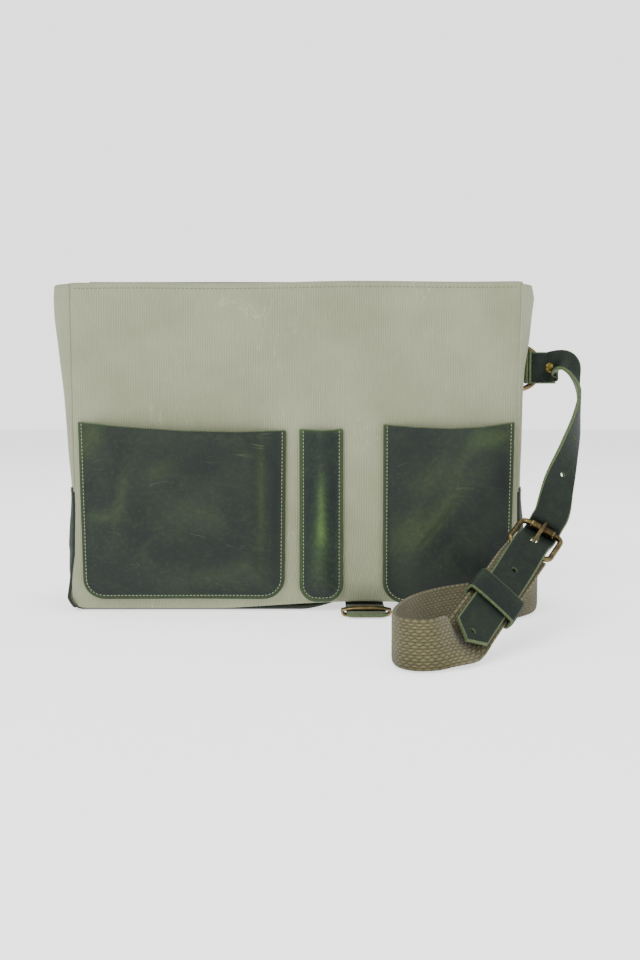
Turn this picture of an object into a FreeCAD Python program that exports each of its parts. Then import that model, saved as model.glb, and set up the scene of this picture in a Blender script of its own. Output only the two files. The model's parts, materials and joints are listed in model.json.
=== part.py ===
"""Messenger bag: canvas body with leather patch pockets, a leather flap and a buckled shoulder strap.

Units are millimetres. X runs along the bag's width, +Y points to its back and +Z is up.
The origin is the middle of the base, where the bag stands. Every function below makes one sub-part.
"""

import math
import os

import FreeCAD
import Part
from FreeCAD import Vector

# ---- driving dimensions ---------------------------------------------------------------------
BODY_W = 276.0          # canvas body, corner seam to corner seam
BODY_H = 200.0          # height of the mouth above the base
TOP_DEPTH = 42.0        # front to back at the mouth
BASE_DEPTH = 48.0       # front to back at the base
CANVAS_T = 1.6          # waxed canvas
LEATHER_T = 2.2         # pull-up leather
GUSSET_BULGE_TOP = 1.0  # how far a side swells outward at the mouth
GUSSET_BULGE_LOW = 7.0  # how far the leather end of the base strip swells outward
BOOT_H = 76.0           # the leather base strip runs this far up each side
BASE_LIFT = 5.0         # the base rises this much where the closure strap passes under it
SEAM_GAP = 0.15         # gap left between pieces that are sewn together
BASE_STEPS = 24         # straight runs that make up the lifted line of the base

CLOSURE_X = 43.5        # centre of the closure strap, in the gap between two pockets
CLOSURE_W = 24.0
STRAP_T = 2.2
STRAP_W = 20.0          # leather shoulder strap
WEB_W = 25.0            # cotton webbing
WEB_T = 2.0

FLAP_HALF_W = 134.0
FLAP_SPINE = 58.0       # the part of the flap that lies over the mouth
FLAP_FRONT = 140.0      # the part that hangs over the front
FLAP_HINGE = Vector(0, 24.0, 202.0)
FLAP_LEAN = 3.6         # degrees from vertical while it hangs behind the bag
CLOSURE_LONG = 64.5     # closure strap from the flap edge to its second fold
CLOSURE_TIP = 18.0      # the end of the closure strap, which carries the loop

RING_R = 13.5           # D-ring, centre line of the wire
RING_WIRE = 1.75
RING_X = 142.9
RING_Y = 14.0
RING_Z = 150.0
LOOP_SLACK = 5.2        # the leather loop reaches this much further in than the round wire needs

POCKET_T = 2.0
POCKET_GAP = 9.5        # depth of a pocket, canvas to leather

OUT = "parts"


# ---- helpers --------------------------------------------------------------------------------
def save(shape, name):
    """Writes one sub-part as STEP."""
    shape.exportStep(os.path.join(OUT, name + ".step"))


def box(x0, x1, y0, y1, z0, z1):
    return Part.makeBox(x1 - x0, y1 - y0, z1 - z0, Vector(x0, y0, z0))


def cylinder(r, start, end):
    way = end - start
    return Part.makeCylinder(r, way.Length, start, way)


def tube(outer, inner, start, end):
    """A hollow cylinder; the bore runs past both ends so that the cut is clean."""
    way = (end - start).normalize()
    return cylinder(outer, start, end).cut(cylinder(inner, start - way, end + way))


def unit(v):
    v = Vector(v)
    v.normalize()
    return v


def frame(centres, widths):
    """Centre, width direction and normal at each station of a ribbon."""
    made = []
    for i, c in enumerate(centres):
        before, after = centres[max(i - 1, 0)], centres[min(i + 1, len(centres) - 1)]
        along = unit(after - before)
        normal = unit(along.cross(widths[i]))
        made.append((c, unit(normal.cross(along)), normal))
    return made


def flat(*corners):
    return Part.Face(Part.makePolygon(list(corners) + [corners[0]]))


def ribbon(centres, widths, width, thick):
    """A flat strap that bends and twists, as rectangles joined station to station by flat faces."""
    rings = []
    for c, w, n in frame(centres, widths):
        a, b = w * (width / 2), n * (thick / 2)
        rings.append([c + a + b, c - a + b, c - a - b, c + a - b])
    faces = [flat(*rings[0]), flat(*reversed(rings[-1]))]
    for near, far in zip(rings, rings[1:]):
        for i in range(4):
            j = (i + 1) % 4
            faces.append(flat(near[i], far[i], far[j]))
            faces.append(flat(near[i], far[j], near[j]))
    solid = Part.Solid(Part.makeShell(faces))
    if solid.Volume < 0:
        solid.reverse()
    return solid


def wire_loop(points, r):
    """A round bar along a closed line of points, as cylinders with balls at the corners."""
    shape = None
    for i, p in enumerate(points):
        q = points[(i + 1) % len(points)]
        piece = cylinder(r, p, q).fuse(Part.makeSphere(r, p))
        shape = piece if shape is None else shape.fuse(piece)
    return shape.removeSplitter()


def face_y(z, side):
    """Y of the outer face of the front (side -1) or back (side +1) panel at a height."""
    half = BASE_DEPTH / 2 + (TOP_DEPTH - BASE_DEPTH) / 2 * z / BODY_H
    return side * half


def base_z(x):
    """Height of the base's underside: flat at both ends, lifted over the closure strap."""
    spread = 34.0
    t = 1.0 - abs(x - CLOSURE_X) / spread
    if t < 0.1:
        return 0.0
    return BASE_LIFT * min(1.0, 1.9 * t * t * (3 - 2 * t))


# ---- body -----------------------------------------------------------------------------------
def wall(side):
    """Front or back panel: a leaning sheet whose lower edge follows the base."""
    xs = [-BODY_W / 2 + i * BODY_W / BASE_STEPS for i in range(BASE_STEPS + 1)]
    outline = [(x, base_z(x) + CANVAS_T + SEAM_GAP) for x in xs]
    outline += [(BODY_W / 2, BODY_H), (-BODY_W / 2, BODY_H)]
    outer = [Vector(x, face_y(z, side), z) for x, z in outline]
    face = Part.Face(Part.makePolygon(outer + outer[:1]))
    return face.extrude(Vector(0, -side * CANVAS_T, 0))


def base_strip():
    """Leather strip under the bag, whose shape follows the lift over the closure strap."""
    xs = [-BODY_W / 2 + i * BODY_W / BASE_STEPS for i in range(BASE_STEPS + 1)]
    low = [Vector(x, 0, base_z(x)) for x in xs]
    high = [Vector(x, 0, base_z(x) + CANVAS_T) for x in reversed(xs)]
    face = Part.Face(Part.makePolygon(low + high + low[:1]))
    half = BASE_DEPTH / 2
    face.translate(Vector(0, -half, 0))
    return face.extrude(Vector(0, BASE_DEPTH, 0))


def side_section(z, side, bulge, thick, y_in):
    """A bowed strip of the side at one height, as a closed wire."""
    half = face_y(z, 1) - y_in
    x = side * BODY_W / 2
    outer = [Vector(x, -half, z), Vector(x + side * bulge, 0, z), Vector(x, half, z)]
    inner = [p - Vector(side * thick, 0, 0) for p in outer]
    edges = [
        Part.Arc(*outer).toShape(),
        Part.makeLine(outer[2], inner[2]),
        Part.Arc(inner[2], inner[1], inner[0]).toShape(),
        Part.makeLine(inner[0], outer[0]),
    ]
    return Part.Wire(edges)


def gusset(side):
    """Upper side of the bag, canvas."""
    clear = CANVAS_T + SEAM_GAP
    top = side_section(BODY_H, side, GUSSET_BULGE_TOP, CANVAS_T, clear)
    low = side_section(BOOT_H + SEAM_GAP, side, 1.0, CANVAS_T, clear)
    return Part.makeLoft([low, top], True, True)


def boot(side):
    """Lower side of the bag: the end of the leather base strip."""
    clear = CANVAS_T + SEAM_GAP
    low = side_section(CANVAS_T + SEAM_GAP, side, 4.0, CANVAS_T, clear)
    mid = side_section(BOOT_H * 0.4, side, GUSSET_BULGE_LOW, CANVAS_T, clear)
    top = side_section(BOOT_H, side, 1.0, CANVAS_T, clear)
    return Part.makeLoft([low, mid, top], True, True)


def wedge(inset, z0, z1):
    """The space inside the body, drawn in by an inset."""
    wires = []
    for z in (z0, z1):
        x, y = BODY_W / 2 - inset, face_y(z, 1) - inset
        corners = [Vector(x, y, z), Vector(-x, y, z), Vector(-x, -y, z), Vector(x, -y, z)]
        wires.append(Part.makePolygon(corners + corners[:1]))
    return Part.makeLoft(wires, True, True)


LINING_T = 0.6
LINING_FLOOR = BASE_LIFT + CANVAS_T + 3.2
FACING_T = 1.0
FACING_H = 18.0


def lining():
    """Thin inner bag that hangs from the facing."""
    outer_inset = CANVAS_T + FACING_T + 2 * SEAM_GAP
    outer = wedge(outer_inset, LINING_FLOOR, BODY_H - 1.0)
    inner = wedge(outer_inset + LINING_T, LINING_FLOOR + LINING_T, BODY_H)
    return outer.cut(inner)


def hem_facing():
    """Folded canvas band inside the mouth."""
    inset = CANVAS_T + SEAM_GAP
    outer = wedge(inset, BODY_H - FACING_H, BODY_H - 0.5)
    inner = wedge(inset + FACING_T, BODY_H - FACING_H - 1.0, BODY_H + 1.0)
    return outer.cut(inner)


def base_board():
    """Stiff board that keeps the base flat, between the base strip and the lining."""
    z = BASE_LIFT + CANVAS_T + 0.5
    x, y = BODY_W / 2 - 6.0, BASE_DEPTH / 2 - 4.0
    return box(-x, x, -y, y, z, z + 2.0)


# ---- pockets --------------------------------------------------------------------------------
def pocket_outline(x0, x1, z0, z1, corner, dip):
    """Outline with rounded lower corners and a mouth that dips in the middle, as a face."""
    def at(x, z):
        return Vector(x, 0, z)

    c = corner
    d = c * (1 - math.sqrt(0.5))
    edges = [
        Part.makeLine(at(x0, z1), at(x0, z0 + c)),
        Part.Arc(at(x0, z0 + c), at(x0 + d, z0 + d), at(x0 + c, z0)).toShape(),
        Part.makeLine(at(x0 + c, z0), at(x1 - c, z0)),
        Part.Arc(at(x1 - c, z0), at(x1 - d, z0 + d), at(x1, z0 + c)).toShape(),
        Part.makeLine(at(x1, z0 + c), at(x1, z1)),
        Part.Arc(at(x1, z1), at((x0 + x1) / 2, z1 - dip), at(x0, z1)).toShape(),
    ]
    return Part.Face(Part.Wire(edges))


def pocket(x0, x1, z0, z1, corner, dip):
    """Leather patch pocket: a shallow tray, open at its mouth and against the canvas."""
    t = POCKET_T
    outer = pocket_outline(x0, x1, z0, z1, corner, dip).extrude(Vector(0, -POCKET_GAP - t, 0))
    room = pocket_outline(x0 + t, x1 - t, z0 + t, z1 + 20, corner - t, dip)
    room.translate(Vector(0, 1, 0))
    tray = outer.cut(room.extrude(Vector(0, -POCKET_GAP - 1, 0)))
    lean = math.degrees(math.atan((BASE_DEPTH - TOP_DEPTH) / 2 / BODY_H))
    tray.rotate(Vector(0, 0, 0), Vector(1, 0, 0), -lean)
    tray.translate(Vector(0, face_y(0, -1) - SEAM_GAP, 0))
    return tray


# ---- flap and its closure -------------------------------------------------------------------
FOLD_GAP = 1.2        # bare length beside a fold line, so that two folded sheets stay clear


def flap_spine():
    """The part of the flap that lies over the mouth when it is closed."""
    sheet = box(-FLAP_HALF_W, FLAP_HALF_W, -LEATHER_T / 2, LEATHER_T / 2, FOLD_GAP - FLAP_SPINE, 0)
    sheet.rotate(Vector(0, 0, 0), Vector(1, 0, 0), FLAP_LEAN)
    sheet.translate(FLAP_HINGE)
    return sheet


def flap_point(offset):
    """The point on the flap's middle plane this far below its hinge."""
    a = math.radians(FLAP_LEAN)
    return FLAP_HINGE + Vector(0, math.sin(a) * offset, -math.cos(a) * offset)


def flap_front():
    """The main leather sheet of the flap, with rounded free corners."""
    sheet = box(-FLAP_HALF_W, FLAP_HALF_W, -LEATHER_T / 2, LEATHER_T / 2, -FLAP_FRONT, -FOLD_GAP)
    corners = [
        e for e in sheet.Edges
        if abs(e.CenterOfMass.z + FLAP_FRONT) < 1e-6 and abs(abs(e.CenterOfMass.x) - FLAP_HALF_W) < 1e-6
    ]
    sheet = sheet.makeFillet(26.0, corners)
    sheet.translate(Vector(0, 0, -FLAP_SPINE))
    sheet.rotate(Vector(0, 0, 0), Vector(1, 0, 0), FLAP_LEAN)
    sheet.translate(FLAP_HINGE)
    return sheet


def flap_anchor():
    """Leather strip sewn to the back panel, from which the flap hangs."""
    y = face_y(BODY_H - 20.0, 1) + SEAM_GAP
    return box(-FLAP_HALF_W, FLAP_HALF_W, y, y + 1.4, BODY_H - 20.0, BODY_H + 0.5)


STRAP_Z = 1.6       # middle of the closure strap's thickness where it passes under the bag
CLOSURE_ROOT = flap_point(FLAP_SPINE + FLAP_FRONT + 1.6)
CLOSURE_FOLD_Y = CLOSURE_ROOT.y - CLOSURE_LONG


def closure_strap():
    """Closure strap from the flap's edge, forward under the bag."""
    half = CLOSURE_W / 2
    z = STRAP_Z
    return box(CLOSURE_X - half, CLOSURE_X + half, CLOSURE_FOLD_Y + FOLD_GAP,
               CLOSURE_ROOT.y - FOLD_GAP, z - STRAP_T / 2, z + STRAP_T / 2)


LOOP_CENTRE = Vector(CLOSURE_X, CLOSURE_FOLD_Y - 8.5, STRAP_Z)


def closure_tip():
    """The last part of the closure strap, with rounded corners."""
    half = CLOSURE_W / 2
    z = STRAP_Z
    tip = box(CLOSURE_X - half, CLOSURE_X + half, CLOSURE_FOLD_Y - CLOSURE_TIP,
              CLOSURE_FOLD_Y - FOLD_GAP / 2, z - STRAP_T / 2, z + STRAP_T / 2)
    corners = [e for e in tip.Edges
               if abs(e.CenterOfMass.y - (CLOSURE_FOLD_Y - CLOSURE_TIP)) < 1e-6
               and abs(e.CenterOfMass.z - z) < 1e-6]
    return tip.makeFillet(3.0, corners)


def closure_loop():
    """Cast metal loop round the end of the closure strap: a crowned bar over, a flat bar under."""
    half_in, wall_w = CLOSURE_W / 2 + 0.8, 2.4
    out = half_in + wall_w
    low = [Vector(-out, 0, -1.5), Vector(out, 0, -1.5)]
    over = Part.Arc(Vector(out, 0, 2.4), Vector(0, 0, 4.0), Vector(-out, 0, 2.4)).toShape()
    edges = [Part.makeLine(low[0], low[1]), Part.makeLine(low[1], Vector(out, 0, 2.4)),
             over, Part.makeLine(Vector(-out, 0, 2.4), low[0])]
    ring = Part.Face(Part.Wire(edges)).extrude(Vector(0, 7.0, 0))
    gap = STRAP_T / 2 + 0.15
    ring = ring.cut(box(-half_in, half_in, -1, 8, -gap, gap))
    ring.translate(LOOP_CENTRE - Vector(0, 3.5, 0))
    return ring


# ---- D-rings and their tabs -----------------------------------------------------------------
def d_ring(apex):
    """D-ring with its straight bar upright; apex is the level direction of its round side."""
    apex = unit(apex)
    count = 14
    points = []
    for i in range(count + 1):
        a = math.pi * i / count - math.pi / 2
        points.append(apex * (RING_R * math.cos(a)) + Vector(0, 0, RING_R * math.sin(a)))
    return wire_loop(points, RING_WIRE)


def ring_tab(side):
    """Leather tab folded round the ring's straight bar and sewn to the side of the bag."""
    inner, outer = RING_WIRE + 0.35, RING_WIRE + 1.75
    half = 10.0
    bar = Vector(side * RING_X, RING_Y, RING_Z)
    up = Vector(0, 0, half)
    eye = tube(outer, inner, bar - up, bar + up)
    near = BODY_W / 2 + GUSSET_BULGE_TOP + 0.15
    x0, x1 = sorted((side * near, side * (near + 1.6)))
    plate = box(x0, x1, RING_Y - 22.0, RING_Y - inner, RING_Z - half, RING_Z + half)
    return eye.fuse(plate).removeSplitter()


# ---- shoulder strap -------------------------------------------------------------------------
ROLLER = Vector(144.0, -62.0, 56.0)            # middle of the buckle's roller
ALONG = unit(Vector(-0.504, -0.772, -0.395))   # from the roller down to the strap's tip
ACROSS_BUCKLE = Vector(0.833, -0.306, -0.462)
ACROSS_KEEPER = Vector(0.735, -0.153, -0.662)


def square(along, across):
    """Across, made square to along, and the outward normal of the pair."""
    normal = unit(along.cross(across))
    return normal.cross(along), normal


def strap_frame(s):
    """Centre line, width direction and normal at s mm below the roller."""
    t = min(1.0, max(0.0, (s - 30.0) / 32.0))
    across, normal = square(ALONG, ACROSS_BUCKLE * (1 - t) + ACROSS_KEEPER * t)
    return ROLLER + ALONG * s, across, normal


def placed(shape, s=0.0):
    """Moves a shape drawn in the strap's own axes (along, across, out) to its place."""
    c, across, normal = strap_frame(s)
    m = FreeCAD.Matrix(ALONG.x, across.x, normal.x, c.x,
                       ALONG.y, across.y, normal.y, c.y,
                       ALONG.z, across.z, normal.z, c.z,
                       0, 0, 0, 1)
    moved = shape.copy()
    moved.Placement = FreeCAD.Placement(m)
    return moved


HEEL_S = 24.0        # heel bar, this far below the roller
FRAME_OUT = -1.0     # the buckle frame's plane, measured out from the strap's centre line
ROLLER_R = 2.6
BAR_R = 1.6
TIP_S = 119.0        # the strap's pointed tip
POINT_LONG = 9.5     # length of the point
FREE_HOLES = (52.0, 111.0)
HOLE_R = 1.6


def leather_low():
    """Stations of the leather strap from under the roller to its tip: (s, distance out)."""
    return [(-8.0, 5.6), (-5.0, 1.4), (-4.4, -1.6), (-2.8, -4.2), (0.4, -5.3), (6.0, -3.9),
            (13.0, -0.4), (20.0, 3.2), (26.0, 4.9), (34.0, 4.9), (46.0, 4.1), (54.0, 3.7),
            (62.0, 3.3), (80.0, 3.1), (100.0, 3.2), (110.0, 4.2), (TIP_S, 6.2)]


def shoulder_leather():
    """Leather strap: folded round the ring, over the arch, through the buckle, to its tip."""
    up = Vector(0, 0, 1)
    apex = RING_X + RING_R
    r = RING_WIRE + 0.6 + STRAP_T / 2
    centres = [Vector(apex + 10.6, RING_Y + 1.6, RING_Z), Vector(apex + 6.2, RING_Y + 1.9, RING_Z)]
    for a in (80, 90):
        turn = math.radians(a)
        centres.append(Vector(apex + r * math.cos(turn), RING_Y + r * math.sin(turn), RING_Z))
    for a in (110, 135, 160, 180, 200, 225, 250):
        turn = math.radians(a)
        centres.append(Vector(apex - LOOP_SLACK + r * math.cos(turn), RING_Y + r * math.sin(turn), RING_Z))
    centres.append(Vector(apex, RING_Y - r, RING_Z))
    centres.append(Vector(apex + 6.2, RING_Y - 1.9, RING_Z + 0.3))
    widths = [up] * len(centres)
    arch = [
        ((164.4, 11.4, 151.2), (0.02, 0.10, 1.0)),
        ((168.4, 7.8, 152.4), (0.30, 0.40, 0.85)),
        ((171.4, 2.0, 149.6), (0.38, 0.78, 0.46)),
        ((174.0, -5.5, 141.5), (0.24, 0.95, 0.16)),
        ((175.0, -14.5, 131.0), (0.20, 0.96, -0.20)),
        ((170.6, -28.0, 115.5), (0.38, 0.84, -0.36)),
        ((162.4, -43.0, 98.0), (0.62, 0.60, -0.42)),
        ((154.4, -53.0, 80.0), (0.82, 0.14, -0.46)),
    ]
    for c, w in arch:
        centres.append(Vector(*c))
        widths.append(Vector(*w))
    for s, out in leather_low():
        c, across, normal = strap_frame(s)
        centres.append(c + normal * out)
        widths.append(across)
    strap = ribbon(centres, widths, STRAP_W, STRAP_T)
    slot = placed(box(9.0, HEEL_S + 0.5, -2.0, 2.0, -9.0, 9.0))
    strap = strap.cut(slot)
    for s in FREE_HOLES:
        strap = strap.cut(placed(cylinder(HOLE_R, Vector(0, 0, -4), Vector(0, 0, 9)), s))
    edge = STRAP_W / 2 + 1
    for sign in (-1, 1):
        corner = [Vector(-POINT_LONG, sign * edge, -6), Vector(1, sign * edge, -6), Vector(1, 0, -6)]
        cut = Part.Face(Part.makePolygon(corner + corner[:1])).extrude(Vector(0, 0, 16))
        strap = strap.cut(placed(cut, TIP_S))
    return strap


def buckle_frame():
    """Frame of the roller buckle: a bent wire, its corners chamfered like bends."""
    half, bend = STRAP_W / 2 + 2.6, 4.0
    x1 = HEEL_S
    points = [(bend, -half), (x1 - bend, -half), (x1, -half + bend), (x1, half - bend),
              (x1 - bend, half), (bend, half), (0, half - bend), (0, -half + bend)]
    frame_shape = wire_loop([Vector(x, y, FRAME_OUT) for x, y in points], BAR_R)
    return placed(frame_shape)


def buckle_roller():
    half = STRAP_W / 2 - 2.6
    return placed(tube(ROLLER_R, BAR_R + 0.06, Vector(0, -half, FRAME_OUT), Vector(0, half, FRAME_OUT)))


def buckle_prong():
    """Prong: an eye round the heel bar and a rod that rests over the roller."""
    eye = tube(3.0, BAR_R + 0.06, Vector(HEEL_S, -1.3, FRAME_OUT), Vector(HEEL_S, 1.3, FRAME_OUT))
    rod = cylinder(1.15, Vector(HEEL_S - 1.6, 0, FRAME_OUT + 2.2), Vector(-2.4, 0, FRAME_OUT + 4.3))
    return placed(eye.fuse(rod).removeSplitter())


KEEPER_S = 77.0
KEEPER_LONG = 18.0
KEEPER_T = 1.8


def keeper():
    """Leather loop round the strap's tip and the webbing."""
    half, low, high = WEB_W / 2 + 0.8, -0.9, 4.5
    outer = box(-KEEPER_LONG / 2, KEEPER_LONG / 2, -half - KEEPER_T, half + KEEPER_T,
                low - KEEPER_T, high + KEEPER_T)
    inner = box(-KEEPER_LONG, KEEPER_LONG, -half, half, low, high)
    return placed(outer.cut(inner), KEEPER_S)


def webbing_chape():
    """Stitched leather fold that ties the webbing to the heel bar."""
    half = STRAP_W / 2 - 2.6
    bar0, bar1 = Vector(HEEL_S, -half, FRAME_OUT), Vector(HEEL_S, half, FRAME_OUT)
    eye = tube(BAR_R + 0.2 + 1.4, BAR_R + 0.2, bar0, bar1)
    tail = box(HEEL_S + 2.2, HEEL_S + 17.0, -half, half, FRAME_OUT - 3.2, FRAME_OUT - 1.5)
    link = box(HEEL_S - 0.2, HEEL_S + 4.0, -half, half, FRAME_OUT - 3.2, FRAME_OUT - BAR_R - 0.4)
    fold = eye.fuse(tail).fuse(link).removeSplitter()
    slot = box(HEEL_S - 6, HEEL_S + 6, -2.0, 2.0, FRAME_OUT - 8, FRAME_OUT + 8)
    return placed(fold.cut(slot))


def webbing_front_line():
    """Stations of the webbing from the buckle, round the coil, to the bag's right side."""
    under_leather = [(30.0, -0.9), (38.0, -0.4), (46.0, -0.1), (54.0, 0.2), (62.0, 0.5),
                     (80.0, 0.5), (100.0, 0.0), (113.0, -1.2)]
    centres, widths = [], []
    for s, out in under_leather:
        c, across, normal = strap_frame(s)
        centres.append(c + normal * out)
        widths.append(across)
    up = Vector(0, 0, -1)
    for c, w in (((78.6, -158.8, 12.8), (0.36, -0.10, -0.93)),
                 ((71.0, -166.0, 12.8), (0.10, -0.03, -0.99))):
        centres.append(Vector(*c))
        widths.append(Vector(*w))
    coil = [(62.5, -168.0), (55.0, -163.0), (52.0, -149.0), (56.5, -127.0), (66.0, -104.0),
            (81.0, -84.0), (98.0, -70.0), (122.0, -56.0), (143.0, -34.0), (152.0, -6.0)]
    for x, y in coil:
        centres.append(Vector(x, y, 12.9))
        widths.append(up)
    return centres, widths


def webbing_front():
    """Webbing from the heel bar through the keeper and round the coil."""
    centres, widths = webbing_front_line()
    return ribbon(centres, widths, WEB_W, WEB_T)


def webbing_back():
    """Webbing from the bag's right side, behind the flap, up to the left strap end."""
    line = [
        ((153.5, 0.0, 12.9), (0, 0, -1)), ((154.5, 16.0, 13.0), (0, 0, -1)),
        ((150.0, 28.0, 13.4), (0, 0, -1)), ((139.0, 31.6, 14.4), (0, 0, -1)),
        ((124.0, 30.4, 15.6), (0, 0, -1)), ((100.0, 29.2, 16.4), (0, 0, -1)),
        ((-105.0, 29.2, 16.4), (0, 0, -1)), ((-126.0, 31.0, 18.0), (-0.08, 0, -1)),
        ((-136.0, 34.5, 26.0), (-0.56, -0.34, -0.75)), ((-140.5, 38.0, 42.0), (-0.42, -0.86, -0.26)),
        ((-141.5, 39.4, 60.0), (-0.14, -0.98, -0.04)), ((-141.5, 40.0, 84.0), (-0.08, -1, 0)),
        ((-141.5, 40.4, 104.0), (-0.06, -1, 0)),
    ]
    return ribbon([Vector(*c) for c, _ in line], [Vector(*w) for _, w in line], WEB_W, WEB_T)


def left_end():
    """Leather end of the shoulder strap, folded round the left ring and sewn to the webbing."""
    down = Vector(0, 0, -1)
    apex_y = RING_Y + RING_R
    r = RING_WIRE + 0.6 + STRAP_T / 2
    x0 = -RING_X
    centres = [Vector(x0 + 1.3, apex_y + 16, RING_Z), Vector(x0 + 1.6, apex_y + 9, RING_Z)]
    for a in (10, 0):
        turn = math.radians(a)
        centres.append(Vector(x0 + r * math.cos(turn), apex_y + r * math.sin(turn), RING_Z))
    for a in (-20, -45, -70, -90, -110, -135, -160):
        turn = math.radians(a)
        centres.append(Vector(x0 + r * math.cos(turn), apex_y - LOOP_SLACK + r * math.sin(turn), RING_Z))
    centres.append(Vector(x0 - r, apex_y, RING_Z))
    centres.append(Vector(x0 - 1.4, apex_y + 9, RING_Z))
    widths = [down] * len(centres)
    for c, w in (((-144.6, 43.2, 148.6), (0.05, 0.30, -0.95)),
                 ((-144.4, 46.8, 141.0), (0.10, 0.76, -0.64)),
                 ((-143.6, 46.6, 131.0), (0.10, 0.97, -0.22)),
                 ((-142.4, 43.4, 120.0), (0.08, 0.99, 0.10)),
                 ((-141.8, 41.0, 108.0), (0.06, 1.0, 0.06))):
        centres.append(Vector(*c))
        widths.append(Vector(*w))
    return ribbon(centres, widths, STRAP_W, STRAP_T)


def rivet(centre, way, grip):
    """Double-cap rivet: two shallow domes and a post."""
    way = unit(way)
    half = grip / 2
    cap_r, cap_t = 3.3, 1.3
    shape = cylinder(1.4, centre - way * half, centre + way * half)
    for sign in (-1, 1):
        start = centre + way * (sign * (half - 0.01))
        shape = shape.fuse(Part.makeCone(cap_r, 2.4, cap_t, start, way * sign))
    return shape.removeSplitter()


def main():
    os.makedirs(OUT, exist_ok=True)
    save(wall(-1), "front_panel")
    save(wall(1), "back_panel")
    save(base_strip(), "base_strip")
    for side, name in ((1, "right"), (-1, "left")):
        save(gusset(side), "side_gusset_" + name)
        save(boot(side), "side_boot_" + name)
    save(lining(), "lining")
    save(hem_facing(), "hem_facing")
    save(base_board(), "base_board")

    save(pocket(-131.8, -4.8, 7.5, 114.0, 14.0, 3.0), "phone_pocket")
    save(pocket(3.0, 29.8, 5.5, 112.0, 12.0, 0.7), "pen_pocket")
    save(pocket(53.9, 134.2, 4.5, 115.4, 14.0, 2.4), "card_pocket")

    save(flap_anchor(), "flap_anchor")
    save(flap_spine(), "flap_spine")
    save(flap_front(), "flap_front")
    save(closure_strap(), "closure_strap")
    save(closure_tip(), "closure_tip")
    save(closure_loop(), "closure_loop")

    bar = {1: Vector(RING_X, RING_Y, RING_Z), -1: Vector(-RING_X, RING_Y, RING_Z)}
    for side, name, apex in ((1, "right", Vector(1, 0, 0)), (-1, "left", Vector(0, 1, 0))):
        ring = d_ring(apex)
        ring.translate(bar[side])
        save(ring, "ring_" + name)
        save(ring_tab(side), "ring_tab_" + name)

    save(shoulder_leather(), "strap_leather")
    rivet_x = RING_X + RING_R + 5.7
    save(rivet(Vector(rivet_x, RING_Y, RING_Z), Vector(0, 1, 0), 2 * STRAP_T + 1.9), "strap_rivet")
    rivet_y = RING_Y + RING_R + 9.0
    save(rivet(Vector(-RING_X, rivet_y, RING_Z), Vector(1, 0, 0), 2 * STRAP_T + 1.4), "strap_rivet_left")
    save(buckle_frame(), "buckle_frame")
    save(buckle_roller(), "buckle_roller")
    save(buckle_prong(), "buckle_prong")
    save(webbing_chape(), "webbing_chape")
    save(keeper(), "keeper")
    save(webbing_front(), "webbing_front")
    save(webbing_back(), "webbing_back")
    save(left_end(), "strap_end_left")


main()
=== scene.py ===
"""Looks for the messenger bag: canvas body, leather pockets and flap, buckled shoulder strap."""

import json
import math
import random

import bpy
import numpy as np
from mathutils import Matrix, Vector


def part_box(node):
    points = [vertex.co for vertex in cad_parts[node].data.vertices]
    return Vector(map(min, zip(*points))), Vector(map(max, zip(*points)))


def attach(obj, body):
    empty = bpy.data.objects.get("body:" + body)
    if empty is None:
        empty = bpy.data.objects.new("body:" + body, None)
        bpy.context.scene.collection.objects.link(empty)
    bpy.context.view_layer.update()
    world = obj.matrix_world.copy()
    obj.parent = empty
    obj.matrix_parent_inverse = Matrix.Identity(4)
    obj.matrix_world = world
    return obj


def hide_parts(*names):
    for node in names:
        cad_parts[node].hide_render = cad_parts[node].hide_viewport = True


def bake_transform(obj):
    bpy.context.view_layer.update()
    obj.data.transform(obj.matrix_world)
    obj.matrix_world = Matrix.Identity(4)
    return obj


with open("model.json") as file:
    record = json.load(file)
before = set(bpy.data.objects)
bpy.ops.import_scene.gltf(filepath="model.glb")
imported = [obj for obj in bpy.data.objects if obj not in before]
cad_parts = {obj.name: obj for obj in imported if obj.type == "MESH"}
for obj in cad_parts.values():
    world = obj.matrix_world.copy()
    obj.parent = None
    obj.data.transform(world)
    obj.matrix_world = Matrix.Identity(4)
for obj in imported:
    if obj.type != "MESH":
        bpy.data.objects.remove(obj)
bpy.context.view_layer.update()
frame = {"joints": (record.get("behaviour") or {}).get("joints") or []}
rng = random.Random(7)
MM = 0.001


# ---- materials ------------------------------------------------------------------------------
def srgb(r, g, b):
    out = []
    for c in (r, g, b):
        c /= 255.0
        out.append(c / 12.92 if c <= 0.04045 else ((c + 0.055) / 1.055) ** 2.4)
    return (*out, 1.0)


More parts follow.
